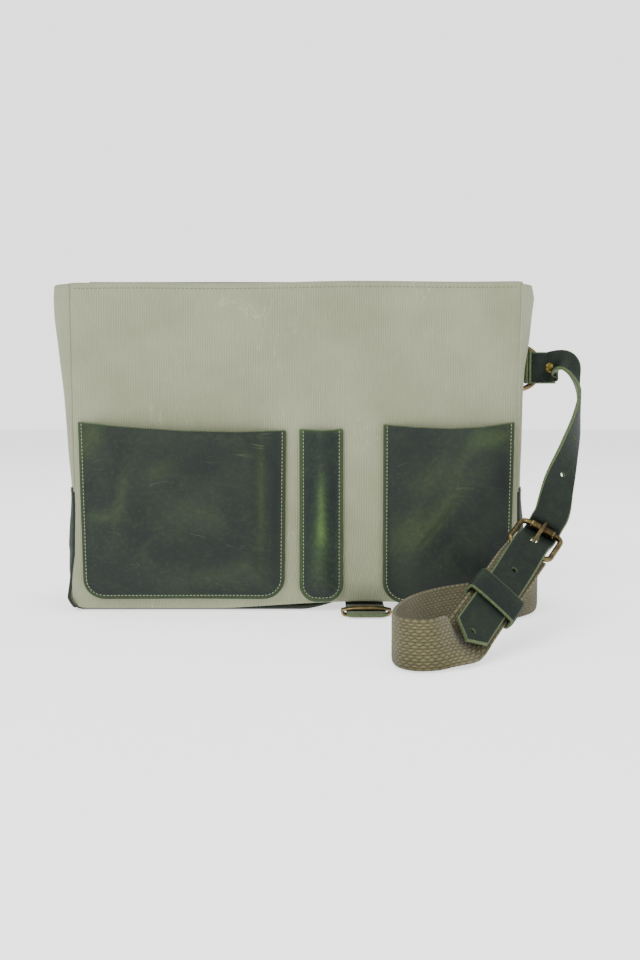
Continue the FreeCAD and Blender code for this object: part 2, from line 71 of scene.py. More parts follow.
class Nodes:
    """Short calls for a material's node tree."""

    def __init__(self, name):
        self.mat = bpy.data.materials.new(name)
        self.mat.use_nodes = True
        self.tree = self.mat.node_tree
        self.bsdf = self.tree.nodes["Principled BSDF"]
        coord = self.add("ShaderNodeTexCoord")
        self.uv = coord.outputs["UV"]
        self.obj = coord.outputs["Object"]

    def add(self, kind, **values):
        node = self.tree.nodes.new(kind)
        for key, value in values.items():
            if key in node.inputs:
                node.inputs[key].default_value = value
            else:
                setattr(node, key, value)
        return node

    def link(self, a, b):
        self.tree.links.new(a, b)

    def feed(self, value, socket):
        """A constant sets the socket; anything else is wired to it."""
        if isinstance(value, (int, float, tuple)):
            socket.default_value = value
        else:
            self.link(value, socket)

    def scaled(self, source, scale, turn=0.0):
        node = self.add("ShaderNodeMapping", Scale=scale, Rotation=(0, 0, turn))
        self.link(source, node.inputs["Vector"])
        return node.outputs["Vector"]

    def noise(self, vector, scale, detail=4.0, rough=0.55, distortion=0.0):
        node = self.add("ShaderNodeTexNoise", Scale=scale, Detail=detail, Roughness=rough,
                        Distortion=distortion)
        self.link(vector, node.inputs["Vector"])
        return node.outputs["Fac"]

    def ramp(self, fac, *stops):
        node = self.add("ShaderNodeValToRGB")
        items = node.color_ramp.elements
        while len(items) < len(stops):
            items.new(0.5)
        for item, (at, colour) in zip(items, stops):
            item.position = at
            item.color = colour if len(colour) == 4 else (*colour, 1.0)
        self.link(fac, node.inputs["Fac"])
        return node.outputs["Color"]

    def gate(self, fac, start, full, most=1.0):
        """Nothing below start, rising to most."""
        return self.ramp(fac, (start, (0, 0, 0)), (full, (most,) * 3))

    def mix(self, fac, a, b, blend="MIX"):
        node = self.add("ShaderNodeMix", data_type="RGBA", blend_type=blend)
        for value, socket in ((fac, 0), (a, 6), (b, 7)):
            self.feed(value, node.inputs[socket])
        return node.outputs[2]

    def math(self, op, a, b=0.0):
        node = self.add("ShaderNodeMath", operation=op)
        self.feed(a, node.inputs[0])
        self.feed(b, node.inputs[1])
        return node.outputs[0]

    def wave(self, vector, scale, axis="X", distortion=0.0, detail=0.0):
        node = self.add("ShaderNodeTexWave", wave_type="BANDS", bands_direction=axis, Scale=scale,
                        Distortion=distortion, Detail=detail)
        self.link(vector, node.inputs["Vector"])
        return node.outputs["Fac"]

    def bump(self, height, strength, distance, below=None):
        node = self.add("ShaderNodeBump", Strength=strength, Distance=distance)
        self.link(height, node.inputs["Height"])
        if below is not None:
            self.link(below, node.inputs["Normal"])
        return node.outputs["Normal"]

    def finish(self, colour=None, rough=None, normal=None, metal=None, **extra):
        given = {"Base Color": colour, "Roughness": rough, "Normal": normal, "Metallic": metal}
        for key, value in given.items():
            if value is not None:
                self.feed(value, self.bsdf.inputs[key])
        for key, value in extra.items():
            self.bsdf.inputs[key.replace("_", " ")].default_value = value
        return self.mat


def canvas_material():
    """Waxed canvas: fine vertical ribs, a few pale rubbed marks, soft cloudy shade."""
    n = Nodes("canvas")
    uv = n.uv                                            # UV is in millimetres
    cloud = n.noise(uv, 0.014, 3.0, 0.55)
    base = n.ramp(cloud, (0.3, srgb(126, 131, 103)), (0.7, srgb(145, 149, 123)))
    rib = n.wave(n.scaled(uv, (1.0, 0.03, 1.0)), 0.215, "X", 0.7, 2.0)
    strong = n.ramp(n.noise(uv, 0.03, 2.0), (0.35, (0.16,) * 3), (0.65, (0.42,) * 3))
    base = n.mix(n.math("MULTIPLY", rib, strong), base, srgb(98, 102, 78))
    slub = n.noise(n.scaled(uv, (1.9, 0.10, 1.0)), 1.0, 3.0, 0.6)
    base = n.mix(n.gate(slub, 0.55, 0.75, 0.26), base, srgb(172, 176, 152))
    weft = n.noise(n.scaled(uv, (0.25, 2.8, 1.0)), 1.0, 2.0, 0.5)
    base = n.mix(n.gate(weft, 0.5, 0.8, 0.20), base, srgb(124, 127, 101))
    crease = n.noise(n.scaled(uv, (0.045, 0.022, 1.0)), 1.0, 5.0, 0.6, 1.2)
    line = n.math("ABSOLUTE", n.math("SUBTRACT", crease, 0.5))
    mark = n.ramp(line, (0.0, (0.34,) * 3), (0.010, (0, 0, 0)))
    gate = n.gate(n.noise(uv, 0.026, 2.0), 0.54, 0.64)
    base = n.mix(n.mix(1.0, mark, gate, "MULTIPLY"), base, srgb(190, 193, 172))
    normal = n.bump(rib, 0.32, 0.0004)
    normal = n.bump(weft, 0.14, 0.0003, normal)
    normal = n.bump(cloud, 0.22, 0.004, normal)
    return n.finish(base, n.ramp(cloud, (0.3, (0.80,) * 3), (0.7, (0.90,) * 3)), normal,
                    Sheen_Weight=0.10, Sheen_Roughness=0.6, Specular_IOR_Level=0.3)


def leather_material(name, dark, mid, light, rough_low=0.56):
    """Pull-up leather: oiled dark hide, hazy where it is rubbed, with fine pale scratches.

    The piece's vertex colours add to it: red along a cut rim, green where the hide is stretched or rubbed
    light and where a highlight is painted on ridges and bulges, blue where it is dark with oil and where
    shade is painted beside creases.
    """
    n = Nodes(name)
    uv = n.uv
    cloud = n.noise(uv, 0.030, 6.0, 0.66, 0.3)
    base = n.ramp(cloud, (0.30, dark), (0.66, mid))
    haze = n.noise(uv, 0.055, 5.0, 0.7, 0.4)
    base = n.mix(n.gate(haze, 0.52, 0.80, 0.26), base, light)
    rub = n.noise(uv, 0.33, 5.0, 0.72)
    base = n.mix(n.gate(rub, 0.50, 0.82, 0.30), base, light)
    wear_and_painted_light = n.add("ShaderNodeVertexColor")
    wear_and_painted_light.layer_name = "wear_and_painted_light"
    parts = n.add("ShaderNodeSeparateColor")
    n.link(wear_and_painted_light.outputs["Color"], parts.inputs["Color"])
    speckle = n.ramp(rub, (0.30, (0.55,) * 3), (0.60, (1, 1, 1)))
    # green: lighter where rubbed or stretched, and a painted highlight on pocket ridges and bulges; blue:
    # darker where oiled, and painted shade beside creases
    base = n.mix(n.mix(1.0, parts.outputs["Green"], speckle, "MULTIPLY"), base, light)
    base = n.mix(n.math("MULTIPLY", parts.outputs["Blue"], 0.85), base, dark)
    base = n.mix(n.math("MULTIPLY", parts.outputs["Red"], 0.55), base, light)
    for angle, scale, much in ((0.55, 0.10, 0.26), (-0.8, 0.13, 0.17), (1.30, 0.085, 0.24)):
        turned = n.scaled(uv, (scale * 0.22, scale * 1.2, 1.0), angle)
        scratch = n.noise(turned, 1.0, 1.0, 0.3, 0.15)
        line = n.math("ABSOLUTE", n.math("SUBTRACT", scratch, 0.5))
        mark = n.ramp(line, (0.0, (much,) * 3), (0.0035, (0, 0, 0)))
        gate = n.gate(n.noise(uv, 0.045 + scale * 0.2, 1.0), 0.60, 0.72)
        base = n.mix(n.mix(1.0, mark, gate, "MULTIPLY"), base, PALE)
    pore = n.add("ShaderNodeTexVoronoi", Scale=1.1)
    n.link(uv, pore.inputs["Vector"])
    normal = n.bump(pore.outputs["Distance"], 0.14, 0.0004)
    normal = n.bump(rub, 0.30, 0.0006, normal)
    normal = n.bump(haze, 0.18, 0.003, normal)
    rough = n.ramp(cloud, (0.3, (rough_low,) * 3), (0.8, (rough_low + 0.16,) * 3))
    return n.finish(base, rough, normal, Specular_IOR_Level=0.18)


def edge_material():
    """Raw cut edge of the leather, paler and fibrous."""
    n = Nodes("leather_edge")
    fibre = n.noise(n.scaled(n.obj, (900, 900, 2600)), 1.0, 3.0)
    base = n.ramp(fibre, (0.3, srgb(50, 62, 36)), (0.7, srgb(84, 98, 62)))
    return n.finish(base, 0.85, n.bump(fibre, 0.3, 0.0003))


def suede_material():
    """Flesh side of the leather."""
    n = Nodes("leather_back")
    nap = n.noise(n.uv, 0.8, 6.0, 0.75)
    broad = n.noise(n.uv, 0.035, 4.0, 0.6, 0.5)
    base = n.ramp(nap, (0.3, srgb(50, 58, 38)), (0.7, srgb(82, 92, 62)))
    base = n.mix(n.gate(broad, 0.40, 0.66, 0.55), base, srgb(98, 108, 76))
    fibre = n.noise(n.scaled(n.uv, (0.5, 3.2, 1.0)), 1.0, 3.0, 0.6)
    base = n.mix(n.gate(fibre, 0.55, 0.75, 0.35), base, srgb(112, 120, 90))
    return n.finish(base, 0.95, n.bump(nap, 0.5, 0.0008, n.bump(fibre, 0.3, 0.0006)), Sheen_Weight=0.15)


def webbing_material():
    """Heavy cotton webbing: lit yarns, painted shade between them and deep inside the coil, loose fuzz."""
    n = Nodes("cotton_webbing")
    tone = n.noise(n.uv, 0.07, 4.0)
    base = n.ramp(tone, (0.3, srgb(100, 95, 66)), (0.7, srgb(124, 119, 88)))
    fuzz = n.noise(n.uv, 2.6, 3.0, 0.7)
    base = n.mix(n.gate(fuzz, 0.55, 0.8, 0.4), base, srgb(152, 147, 116))
    painted_yarn_shade = n.add("ShaderNodeVertexColor")
    painted_yarn_shade.layer_name = "depth"
    # painted shade between the yarns: the vertex colour darkens the grooves
    base = n.mix(painted_yarn_shade.outputs["Color"], srgb(38, 35, 20), base)
    # painted shade: the colour darkens where ambient occlusion finds the webbing hemmed in, as inside the
    # coil
    shade = n.add("ShaderNodeAmbientOcclusion", Distance=0.05)
    painted_coil_shade = n.ramp(shade.outputs["AO"], (0.15, (0.75,) * 3), (0.75, (0, 0, 0)))
    base = n.mix(painted_coil_shade, base, srgb(34, 31, 18))
    return n.finish(base, 0.95, n.bump(fuzz, 0.5, 0.0005), Sheen_Weight=0.15, Specular_IOR_Level=0.2)


def plain_material(name, scale, detail, low, high, rough, bump, metal=None):
    """One noise for the colour and the relief: thread and rivet brass."""
    n = Nodes(name)
    fleck = n.noise(n.obj, scale, detail)
    base = n.ramp(fleck, (0.3, srgb(*low)), (0.7, srgb(*high)))
    return n.finish(base, rough, n.bump(fleck, bump, 0.0002), metal)


def metal_material():
    """Antique brass: dark in the hollows, paler on the high spots where it is worn and where a highlight is
    painted.
    """
    n = Nodes("antique_brass")
    cloud = n.noise(n.obj, 160.0, 5.0, 0.65)
    base = n.ramp(cloud, (0.30, srgb(44, 37, 22)), (0.52, srgb(88, 75, 48)), (0.78, srgb(150, 134, 92)))
    worn_and_painted_highlight = n.add("ShaderNodeNewGeometry").outputs["Pointiness"]
    # paler on convex spots: worn brass, and a painted highlight
    base = n.mix(n.gate(worn_and_painted_highlight, 0.52, 0.60, 0.6), base, srgb(176, 160, 116))
    fine = n.noise(n.obj, 1400.0, 3.0)
    return n.finish(base, n.ramp(cloud, (0.3, (0.40,) * 3), (0.8, (0.24,) * 3)),
                    n.bump(fine, 0.15, 0.0002), 0.95)


def lining_material():
    n = Nodes("lining_cloth")
    weave = n.wave(n.uv, 0.5, "X", 0.5, 1.0)
    tone = n.noise(n.uv, 0.05, 4.0)
    base = n.ramp(tone, (0.3, srgb(120, 116, 98)), (0.7, srgb(138, 134, 116)))
    return n.finish(base, 0.92, n.bump(weave, 0.2, 0.0003))


def floor_material():
    """Pale paper, lit a little from within so that shadows stay soft."""
    n = Nodes("floor")
    tone = n.noise(n.obj, 2.0, 3.0)
    base = n.ramp(tone, (0.3, (0.86, 0.86, 0.86)), (0.7, (0.90, 0.90, 0.90)))
    n.bsdf.inputs["Emission Color"].default_value = (1.0, 1.0, 1.0, 1.0)
    n.bsdf.inputs["Emission Strength"].default_value = FLOOR_GLOW
    return n.finish(base, 1.0, Specular_IOR_Level=0.0)


FLOOR_GLOW = 1.16
PALE = srgb(122, 136, 98)
CANVAS = canvas_material()
LEATHER = leather_material("pull_up_leather", srgb(26, 31, 30), srgb(38, 46, 39), srgb(64, 80, 46))
# its paler light colour also brightens the painted highlight down the pen pocket
LEATHER_PEN = leather_material("pull_up_leather_pen", srgb(24, 30, 31), srgb(38, 48, 40),
                               srgb(74, 98, 52))
LEATHER_STRAP = leather_material("strap_leather_face", srgb(16, 22, 21), srgb(27, 36, 29),
                                 srgb(50, 68, 38), rough_low=0.50)
EDGE = edge_material()
SUEDE = suede_material()
WEBBING = webbing_material()
THREAD = plain_material("thread", 2500.0, 2.0, (112, 122, 82), (164, 172, 132), 0.75, 0.3)
CANVAS_THREAD = plain_material("canvas_thread", 2500.0, 2.0, (92, 95, 72), (118, 121, 96), 0.8, 0.3)
METAL = metal_material()
BRASS = plain_material("rivet_brass", 700.0, 4.0, (84, 72, 32), (128, 114, 62), 0.34, 0.1, 0.95)
LINING = lining_material()
STRAP_SKINS = (LEATHER_STRAP, SUEDE, EDGE)
FLAP_SKINS = (LEATHER, SUEDE, EDGE)


# ---- mesh helpers ---------------------------------------------------------------------------
def smooth(t):
    t = np.clip(t, 0.0, 1.0)
    return t * t * (3 - 2 * t)


def unit(v):
    v = np.asarray(v, float)
    return v / (np.linalg.norm(v, axis=-1, keepdims=True) + 1e-12)


def make(name, verts, faces, materials, index=None, uv=None, depth=None, wear_and_painted_light=None):
    """A mesh object from millimetre points. uv holds one pair per vertex, in millimetres."""
    mesh = bpy.data.meshes.new(name)
    points = [tuple(float(c) * MM for c in v) for v in verts]
    mesh.from_pydata(points, [], [tuple(int(i) for i in f) for f in faces])
    for m in materials:
        mesh.materials.append(m)
    if index is not None:
        mesh.polygons.foreach_set("material_index", np.asarray(index, np.int32))
    mesh.polygons.foreach_set("use_smooth", [True] * len(mesh.polygons))
    if uv is not None:
        layer = mesh.uv_layers.new(name="UVMap")
        loops = np.zeros(len(mesh.loops), np.int32)
        mesh.loops.foreach_get("vertex_index", loops)
        layer.data.foreach_set("uv", np.asarray(uv, np.float32)[loops].ravel())
    # depth holds the webbing's painted shade between its yarns, as a vertex colour
    if depth is not None:
        layer = mesh.color_attributes.new("depth", "FLOAT_COLOR", "POINT")
        shade = np.repeat(np.asarray(depth, np.float32)[:, None], 4, axis=1)
        layer.data.foreach_set("color", shade.ravel())
    if wear_and_painted_light is not None:
        layer = mesh.color_attributes.new("wear_and_painted_light", "FLOAT_COLOR", "POINT")
        tint = np.hstack([np.asarray(wear_and_painted_light, np.float32), np.ones((len(wear_and_painted_light), 1), np.float32)])
        layer.data.foreach_set("color", tint.ravel())
    mesh.update()
    obj = bpy.data.objects.new(name, mesh)
    bpy.context.scene.collection.objects.link(obj)
    return obj


def grid_normals(p):
    du = np.gradient(p, axis=0)
    dv = np.gradient(p, axis=1)
    return unit(np.cross(du, dv))


def slab(name, p, thick, materials, out=None, wear_and_painted_light=None):
    """A sheet with thickness and eased edges from a grid of points on its outer face.

    materials are (outer face, inner face, cut edge). out flips the side that counts as outer.
    Its wear and painted light colours hold three shares per grid point: rim, light and dark.
    """
    p = np.asarray(p, float)
    nu, nv, _ = p.shape
    normal = grid_normals(p)
    if out is not None and float(np.sum(normal * np.asarray(out, float))) < 0:
        normal = -normal
    du = np.linalg.norm(np.diff(p, axis=0), axis=2)
    dv = np.linalg.norm(np.diff(p, axis=1), axis=2)
    u = np.vstack([np.zeros((1, nv)), np.cumsum(du, axis=0)])
    v = np.hstack([np.zeros((nu, 1)), np.cumsum(dv, axis=1)])
    uv = np.stack([u, v], axis=2)
    pull = min(0.3 * thick, 0.5)
    layers = [p, p - normal * thick]
    for k, layer in enumerate(layers):
        eased = layer.copy()
        eased[0] += unit(layer[1] - layer[0]) * pull
        eased[-1] += unit(layer[-2] - layer[-1]) * pull
        eased[:, 0] += unit(layer[:, 1] - layer[:, 0]) * pull
        eased[:, -1] += unit(layer[:, -2] - layer[:, -1]) * pull
        layers[k] = eased
    verts = np.concatenate([layers[0].reshape(-1, 3), layers[1].reshape(-1, 3)])
    uvs = np.concatenate([uv.reshape(-1, 2), uv.reshape(-1, 2)])
    count = nu * nv
    idx = np.arange(count).reshape(nu, nv)
    faces, mats = [], []
    cross = np.cross(p[1, 0] - p[0, 0], p[0, 1] - p[0, 0])
    flip = float(np.dot(cross, normal[0, 0])) < 0
    for i in range(nu - 1):
        for j in range(nv - 1):
            quad = (idx[i, j], idx[i + 1, j], idx[i + 1, j + 1], idx[i, j + 1])
            back = tuple(q + count for q in reversed(quad))
            if flip:
                quad, back = tuple(reversed(quad)), tuple(reversed(back))
            faces += [quad, back]
            mats += [0, 1]
    loop = [idx[i, 0] for i in range(nu)] + [idx[-1, j] for j in range(1, nv)]
    loop += [idx[i, -1] for i in range(nu - 2, -1, -1)] + [idx[0, j] for j in range(nv - 2, 0, -1)]
    half = len(verts)
    rim = (verts[loop] + verts[[k + count for k in loop]]) / 2
    for n_, k in enumerate(loop):
        i, j = divmod(int(k), nv)
        push = np.zeros(3)
        if i == 0:
            push += unit(p[0, j] - p[1, j])
        if i == nu - 1:
            push += unit(p[-1, j] - p[-2, j])
        if j == 0:
            push += unit(p[i, 0] - p[i, 1])
        if j == nv - 1:
            push += unit(p[i, -1] - p[i, -2])
        rim[n_] += unit(push) * pull
    verts = np.concatenate([verts, rim])
    uvs = np.concatenate([uvs, uvs[loop]])
    m = len(loop)
    for a in range(m):
        b = (a + 1) % m
        top = (loop[a], half + a, half + b, loop[b])
        low = (half + a, loop[a] + count, loop[b] + count, half + b)
        if flip:
            top, low = tuple(reversed(top)), tuple(reversed(low))
        faces += [top, low]
        mats += [2, 2]
    if wear_and_painted_light is not None:
        wear_and_painted_light = wear_and_painted_light.reshape(-1, 3)
        wear_and_painted_light = np.concatenate([wear_and_painted_light, wear_and_painted_light, wear_and_painted_light[loop]])
    return make(name, verts, faces, materials, mats, uvs, wear_and_painted_light=wear_and_painted_light)


def run_length(points):
    return np.concatenate([[0], np.cumsum(np.linalg.norm(np.diff(points, axis=0), axis=1))])


def spline(points, step=1.0):
    """Dense points along a centripetal curve through the given rows, evenly spaced in length."""
    q = np.asarray(points, float)
    q = np.vstack([2 * q[0] - q[1], q, 2 * q[-1] - q[-2]])
    rows = []
    for i in range(1, len(q) - 2):
        p0, p1, p2, p3 = q[i - 1], q[i], q[i + 1], q[i + 2]
        t = np.linspace(0, 1, 24, endpoint=False)[:, None]
        a, b, c = p1 - p0, p2 - p1, p3 - p2
        la, lb, lc = (math.sqrt(np.linalg.norm(k[:3]) + 1e-9) for k in (a, b, c))
        m1 = (p2 - p1) - lb * (p2 - p0) / (la + lb) + lb * (p1 - p0) / la if la > 1e-6 else b
        m2 = (p2 - p1) - lb * (p3 - p1) / (lb + lc) + lb * (p3 - p2) / lc if lc > 1e-6 else b
        rows.append((2 * t**3 - 3 * t**2 + 1) * p1 + (t**3 - 2 * t**2 + t) * m1
                    + (-2 * t**3 + 3 * t**2) * p2 + (t**3 - t**2) * m2)
    rows = np.vstack(rows + [q[-2:-1]])
    run = run_length(rows[:, :3])
    count = max(3, int(run[-1] / step) + 1)
    at = np.linspace(0, run[-1], count)
    return np.stack([np.interp(at, run, rows[:, k]) for k in range(rows.shape[1])], axis=1), at


def path_frame(c, w):
    """Tangent, width direction and normal at each point of a path."""
    along = unit(np.gradient(c, axis=0))
    normal = unit(np.cross(along, w))
    return along, unit(np.cross(normal, along)), normal


def strap_mesh(name, c, w, width, thick, materials, relief=None, cell=1.2):
    """A strap with rounded edges along a path.

    width is a number, or a value per point for a strap whose end is cut to a shape.
    relief(run, x) gives the height of a weave over the broad faces, in millimetres, and the painted shade
    between its yarns.
    """
    along, side, normal = path_frame(c, w)
    run = run_length(c)
    widths = np.full(len(c), float(width)) if np.isscalar(width) else np.asarray(width, float)
    hw, ht = float(widths.max()) / 2, thick / 2
    r = min(0.45 * thick, 0.8)
    across = np.linspace(-hw + r, hw - r, max(7, int(2 * hw / cell)))
    ring = [(x, ht, 0) for x in across]
    ring += [(hw - r * 0.3, ht - r * 0.3, 2), (hw, 0, 2), (hw - r * 0.3, -ht + r * 0.3, 2)]
    ring += [(x, -ht, 1) for x in across[::-1]]
    ring += [(-hw + r * 0.3, -ht + r * 0.3, 2), (-hw, 0, 2), (-hw + r * 0.3, ht - r * 0.3, 2)]
    n, m = len(c), len(ring)
    verts, uv, depth = np.zeros((n, m, 3)), np.zeros((n, m, 2)), np.ones((n, m))
    scale = widths / (2 * hw)
    for k, (x, z, kind) in enumerate(ring):
        off = np.full(n, float(z))
        if relief is not None:
            h = relief(run, x)
            # painted shade of the weave between its yarns
            depth[:, k] = h[1]
            if kind < 2:
                off = off + math.copysign(1, z) * h[0]
        verts[:, k] = c + side * (x * scale)[:, None] + normal * off[:, None]
        uv[:, k, 0] = run
        uv[:, k, 1] = x
    i = np.arange(n - 1)[:, None] * m
    k = np.arange(m)[None, :]
    k2 = (k + 1) % m
    faces = np.stack([i + k, i + m + k, i + m + k2, i + k2], axis=2).reshape(-1, 4).tolist()
    kinds = np.array([q[2] for q in ring])
    pair = np.where((kinds == 2) | (np.roll(kinds, -1) == 2), 2, kinds)
    mats = np.tile(pair, n - 1).tolist()
    faces += [list(range(m)), [(n - 1) * m + q for q in reversed(range(m))]]
    mats += [2, 2]
    if relief is not None:
        obj = make(name, verts.reshape(-1, 3), faces, materials, mats, uv.reshape(-1, 2), depth.ravel())
        return obj, (along, side, normal, run)
    away = hw - np.abs(uv[:, :, 1])
    wear_and_painted_light = np.zeros((n, m, 3))
    wear_and_painted_light[:, :, 0] = 0.5 * np.clip(1 - away / 0.9, 0, 1)
    obj = make(name, verts.reshape(-1, 3), faces, materials, mats, uv.reshape(-1, 2),
               wear_and_painted_light=wear_and_painted_light.reshape(-1, 3))
    return obj, (along, side, normal, run)


def ring_faces(count, sides, closed=False):
    """Faces between rings of points, joined end to end or capped at both ends."""
    faces = []
    for i in range(count if closed else count - 1):
        i2 = (i + 1) % count
        for k in range(sides):
            k2 = (k + 1) % sides
            faces.append((i * sides + k, i * sides + k2, i2 * sides + k2, i2 * sides + k))
    if not closed:
        faces += [tuple(reversed(range(sides))), tuple((count - 1) * sides + k for k in range(sides))]
    return faces


def tube(name, c, radius, material, closed=False, sides=14):
    """A round bar along a path, closed on itself or with capped ends."""
    c = np.asarray(c, float)
    n = len(c)
    tangent = unit(np.roll(c, -1, 0) - np.roll(c, 1, 0)) if closed else unit(np.gradient(c, axis=0))
    ref = np.array([0.13, 0.31, 0.94])
    if abs(float(np.dot(ref, tangent[0]))) > 0.9:
        ref = np.array([1.0, 0.1, 0.0])
    x = unit(ref - tangent[0] * np.dot(ref, tangent[0]))
    xs = [x]
    for i in range(1, n):
        x = unit(x - tangent[i] * np.dot(x, tangent[i]))
        xs.append(x)
    xs = np.array(xs)
    ys = np.cross(tangent, xs)
    if closed:
        err = math.atan2(float(np.dot(xs[-1], ys[0])), float(np.dot(xs[-1], xs[0])))
        turn = -err * np.arange(n) / n
        xs, ys = (xs * np.cos(turn)[:, None] + ys * np.sin(turn)[:, None],
                  ys * np.cos(turn)[:, None] - xs * np.sin(turn)[:, None])
    rad = np.full(n, float(radius)) if np.isscalar(radius) else np.asarray(radius, float)
    ang = np.linspace(0, 2 * math.pi, sides, endpoint=False)
    verts = (c[:, None] + rad[:, None, None] * (xs[:, None] * np.cos(ang)[None, :, None]
             + ys[:, None] * np.sin(ang)[None, :, None])).reshape(-1, 3)
    return make(name, verts, ring_faces(n, sides, closed), [material])


def join(name, objs):
    """Joins meshes, keeping each one's materials."""
    bpy.ops.object.select_all(action="DESELECT")
    for o in objs:
        o.select_set(True)
    bpy.context.view_layer.objects.active = objs[0]
    if len(objs) > 1:
        bpy.ops.object.join()
    objs[0].name = name
    objs[0].data.name = name
    return objs[0]


def stitches(name, line, normal, pitch, material, long=0.72, r=0.32, sink=0.12):
    """A row of thread stitches lying on a surface along a line of points, with its normals."""
    line, normal = np.asarray(line, float), unit(normal)
    run = run_length(line)
    verts, faces = [], []
    count = int(run[-1] / pitch)
    shape = [(-0.5, -1.0, 0.55), (-0.42, 0.35, 0.9), (0.0, 0.75, 1.0), (0.42, 0.35, 0.9),
             (0.5, -1.0, 0.55)]
    for i in range(count):
        mid = (i + 0.5) * run[-1] / count
        size = pitch * long * rng.uniform(0.93, 1.05)
        tilt = rng.uniform(-0.05, 0.05)
        rows = []
        for at, up, fat in shape:
            s = mid + at * size
            p = np.array([np.interp(s, run, line[:, k]) for k in range(3)])
            nn = unit([np.interp(s, run, normal[:, k]) for k in range(3)])
            ahead, behind = ([np.interp(s + gap, run, line[:, k]) for k in range(3)] for gap in (0.3, -0.3))
            t = unit(np.subtract(ahead, behind))
            side = unit(np.cross(t, nn))
            rows.append((p + nn * (up * r - sink) + side * tilt * at * size, nn, side, r * fat))
        base = len(verts)
        for p, nn, side, rr in rows:
            for k in range(6):
                a = math.pi * k / 3
                verts.append(p + nn * rr * math.sin(a) + side * rr * math.cos(a))
        faces += [tuple(base + k for k in face) for face in ring_faces(len(rows), 6)]
    return make(name, verts, faces, [material])


def settle(piece, body, look, *nodes):
    """The piece rides a body and stands in for CAD nodes."""
    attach(piece, body)
    dress(piece, look, *nodes)


def dress(piece, look, *nodes):
    if nodes:
        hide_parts(*nodes)


def sheet(us, vs, place):
    """Grid of points from a function of two parameters."""
    return np.array([[place(u, v) for v in vs] for u in us], float)


# ---- body of the bag ------------------------------------------------------------------------
def node_mm(name):
    low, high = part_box(name)
    return np.array(low) / MM, np.array(high) / MM


HALF_W, _, TOP = node_mm("front_panel")[1]
BASE_HALF = node_mm("base_strip")[1][1]
TOP_HALF = BASE_HALF - 3.0
BOOT_TOP = node_mm("side_boot_right")[1][2]
CLOSURE_X = float(np.mean([v[0] for v in node_mm("closure_strap")]))
PANEL_T, SIDE_T, HEM_T, LINING_T, BODY_LEATHER_T = 1.6, 1.4, 1.0, 0.6, 2.0


def lean_y(z):
    """Half depth of the body at a height."""
    return BASE_HALF + (TOP_HALF - BASE_HALF) * z / TOP


def edge_x(z, side):
    """The corner seam of the body: nearly straight, drawn in at the waist, wider at the foot."""
    zs = [0, 8, 20, 35, 60, 100, 150, 200]
    xs = [139.2, 140.8, 138.8, 136.6, 136.0, 136.8, 137.4, 137.6] if side < 0 else \
         [138.4, 139.2, 138.8, 138.2, 138.0, 138.2, 138.4, 139.0]
    return side * np.interp(z, zs, xs)


def low_z(x):
    """Lower edge of the front panel: flat, with a long gentle arch over the closure strap."""
    t = np.clip(1 - np.abs(x - CLOSURE_X) / 92.0, 0, 1)
    foot = 12.0 - np.sqrt(np.maximum(0.0, 144.0 - np.clip(np.abs(x) - HALF_W + 11.0, 0, 12) ** 2))
    return 0.9 + 4.2 * smooth(t) ** 0.8 + foot * 0.8


def sway(x, z, seed):
    """Slow uneven waves of a hand-made cloth panel, in millimetres."""
    a = 1.05 * np.sin(x / 47.0 + seed) * np.cos(z / 58.0 + 1.7 * seed)
    b = 0.55 * np.sin(x / 21.0 - z / 33.0 + 2.1 * seed)
    c = 0.28 * np.sin(x / 9.5 + z / 26.0 + seed * 3.3)
    return a + b + c


def panel_points(side, nx=151, nz=111):
    """Front (side -1) or back (side 1) panel: a gently waved sheet."""
    def place(u, v):
        x0 = u * HALF_W
        z = low_z(x0) + (TOP - low_z(x0)) * v
        x = edge_x(z, -1) + (edge_x(z, 1) - edge_x(z, -1)) * (u + 1) / 2
        hold = smooth((1 - abs(u)) / 0.10) * smooth(v / 0.08)
        top_hold = 0.45 + 0.55 * smooth((1 - v) / 0.1)
        round_in = 2.2 * (1 - smooth((1 - abs(u)) * HALF_W / 5.0)) + 3.0 * (1 - smooth(v * 14.0))
        y = side * (lean_y(z) + sway(x, z, 1.0 if side < 0 else 2.6) * hold * top_hold - round_in)
        drop = 0.6 * math.sin(u * 2.2 + 0.5) * smooth((v - 0.8) / 0.2) * (1 if side < 0 else -0.6)
        rise = 0.9 + 0.35 * math.sin(x0 / 21.0) - 0.5 * (1 - abs(u))
        return x, y, z + drop + rise * smooth((v - 0.8) / 0.2)

    return sheet(np.linspace(-1, 1, nx), np.linspace(0, 1, nz), place)


FRONT = panel_points(-1)
BACK = panel_points(1)


def on_front(x, z):
    """Y of the front panel's face at a place, by interpolation over the panel."""
    i = np.clip((x / HALF_W + 1) / 2 * (FRONT.shape[0] - 1), 0, FRONT.shape[0] - 1.001)
    j = np.clip(z / TOP * (FRONT.shape[1] - 1), 0, FRONT.shape[1] - 1.001)
    i0, j0 = np.floor(i).astype(int), np.floor(j).astype(int)
    fi, fj = i - i0, j - j0
    y = FRONT[:, :, 1]
    return (y[i0, j0] * (1 - fi) * (1 - fj) + y[i0 + 1, j0] * fi * (1 - fj)
            + y[i0, j0 + 1] * (1 - fi) * fj + y[i0 + 1, j0 + 1] * fi * fj)


front = slab("front_panel_cloth", FRONT, PANEL_T, (CANVAS,) * 3, out=(0, -1, 0))
back = slab("back_panel_cloth", BACK, PANEL_T, (CANVAS,) * 3, out=(0, 1, 0))
for piece, node in ((front, "front_panel"), (back, "back_panel")):
    settle(piece, "bag", "canvas", node)


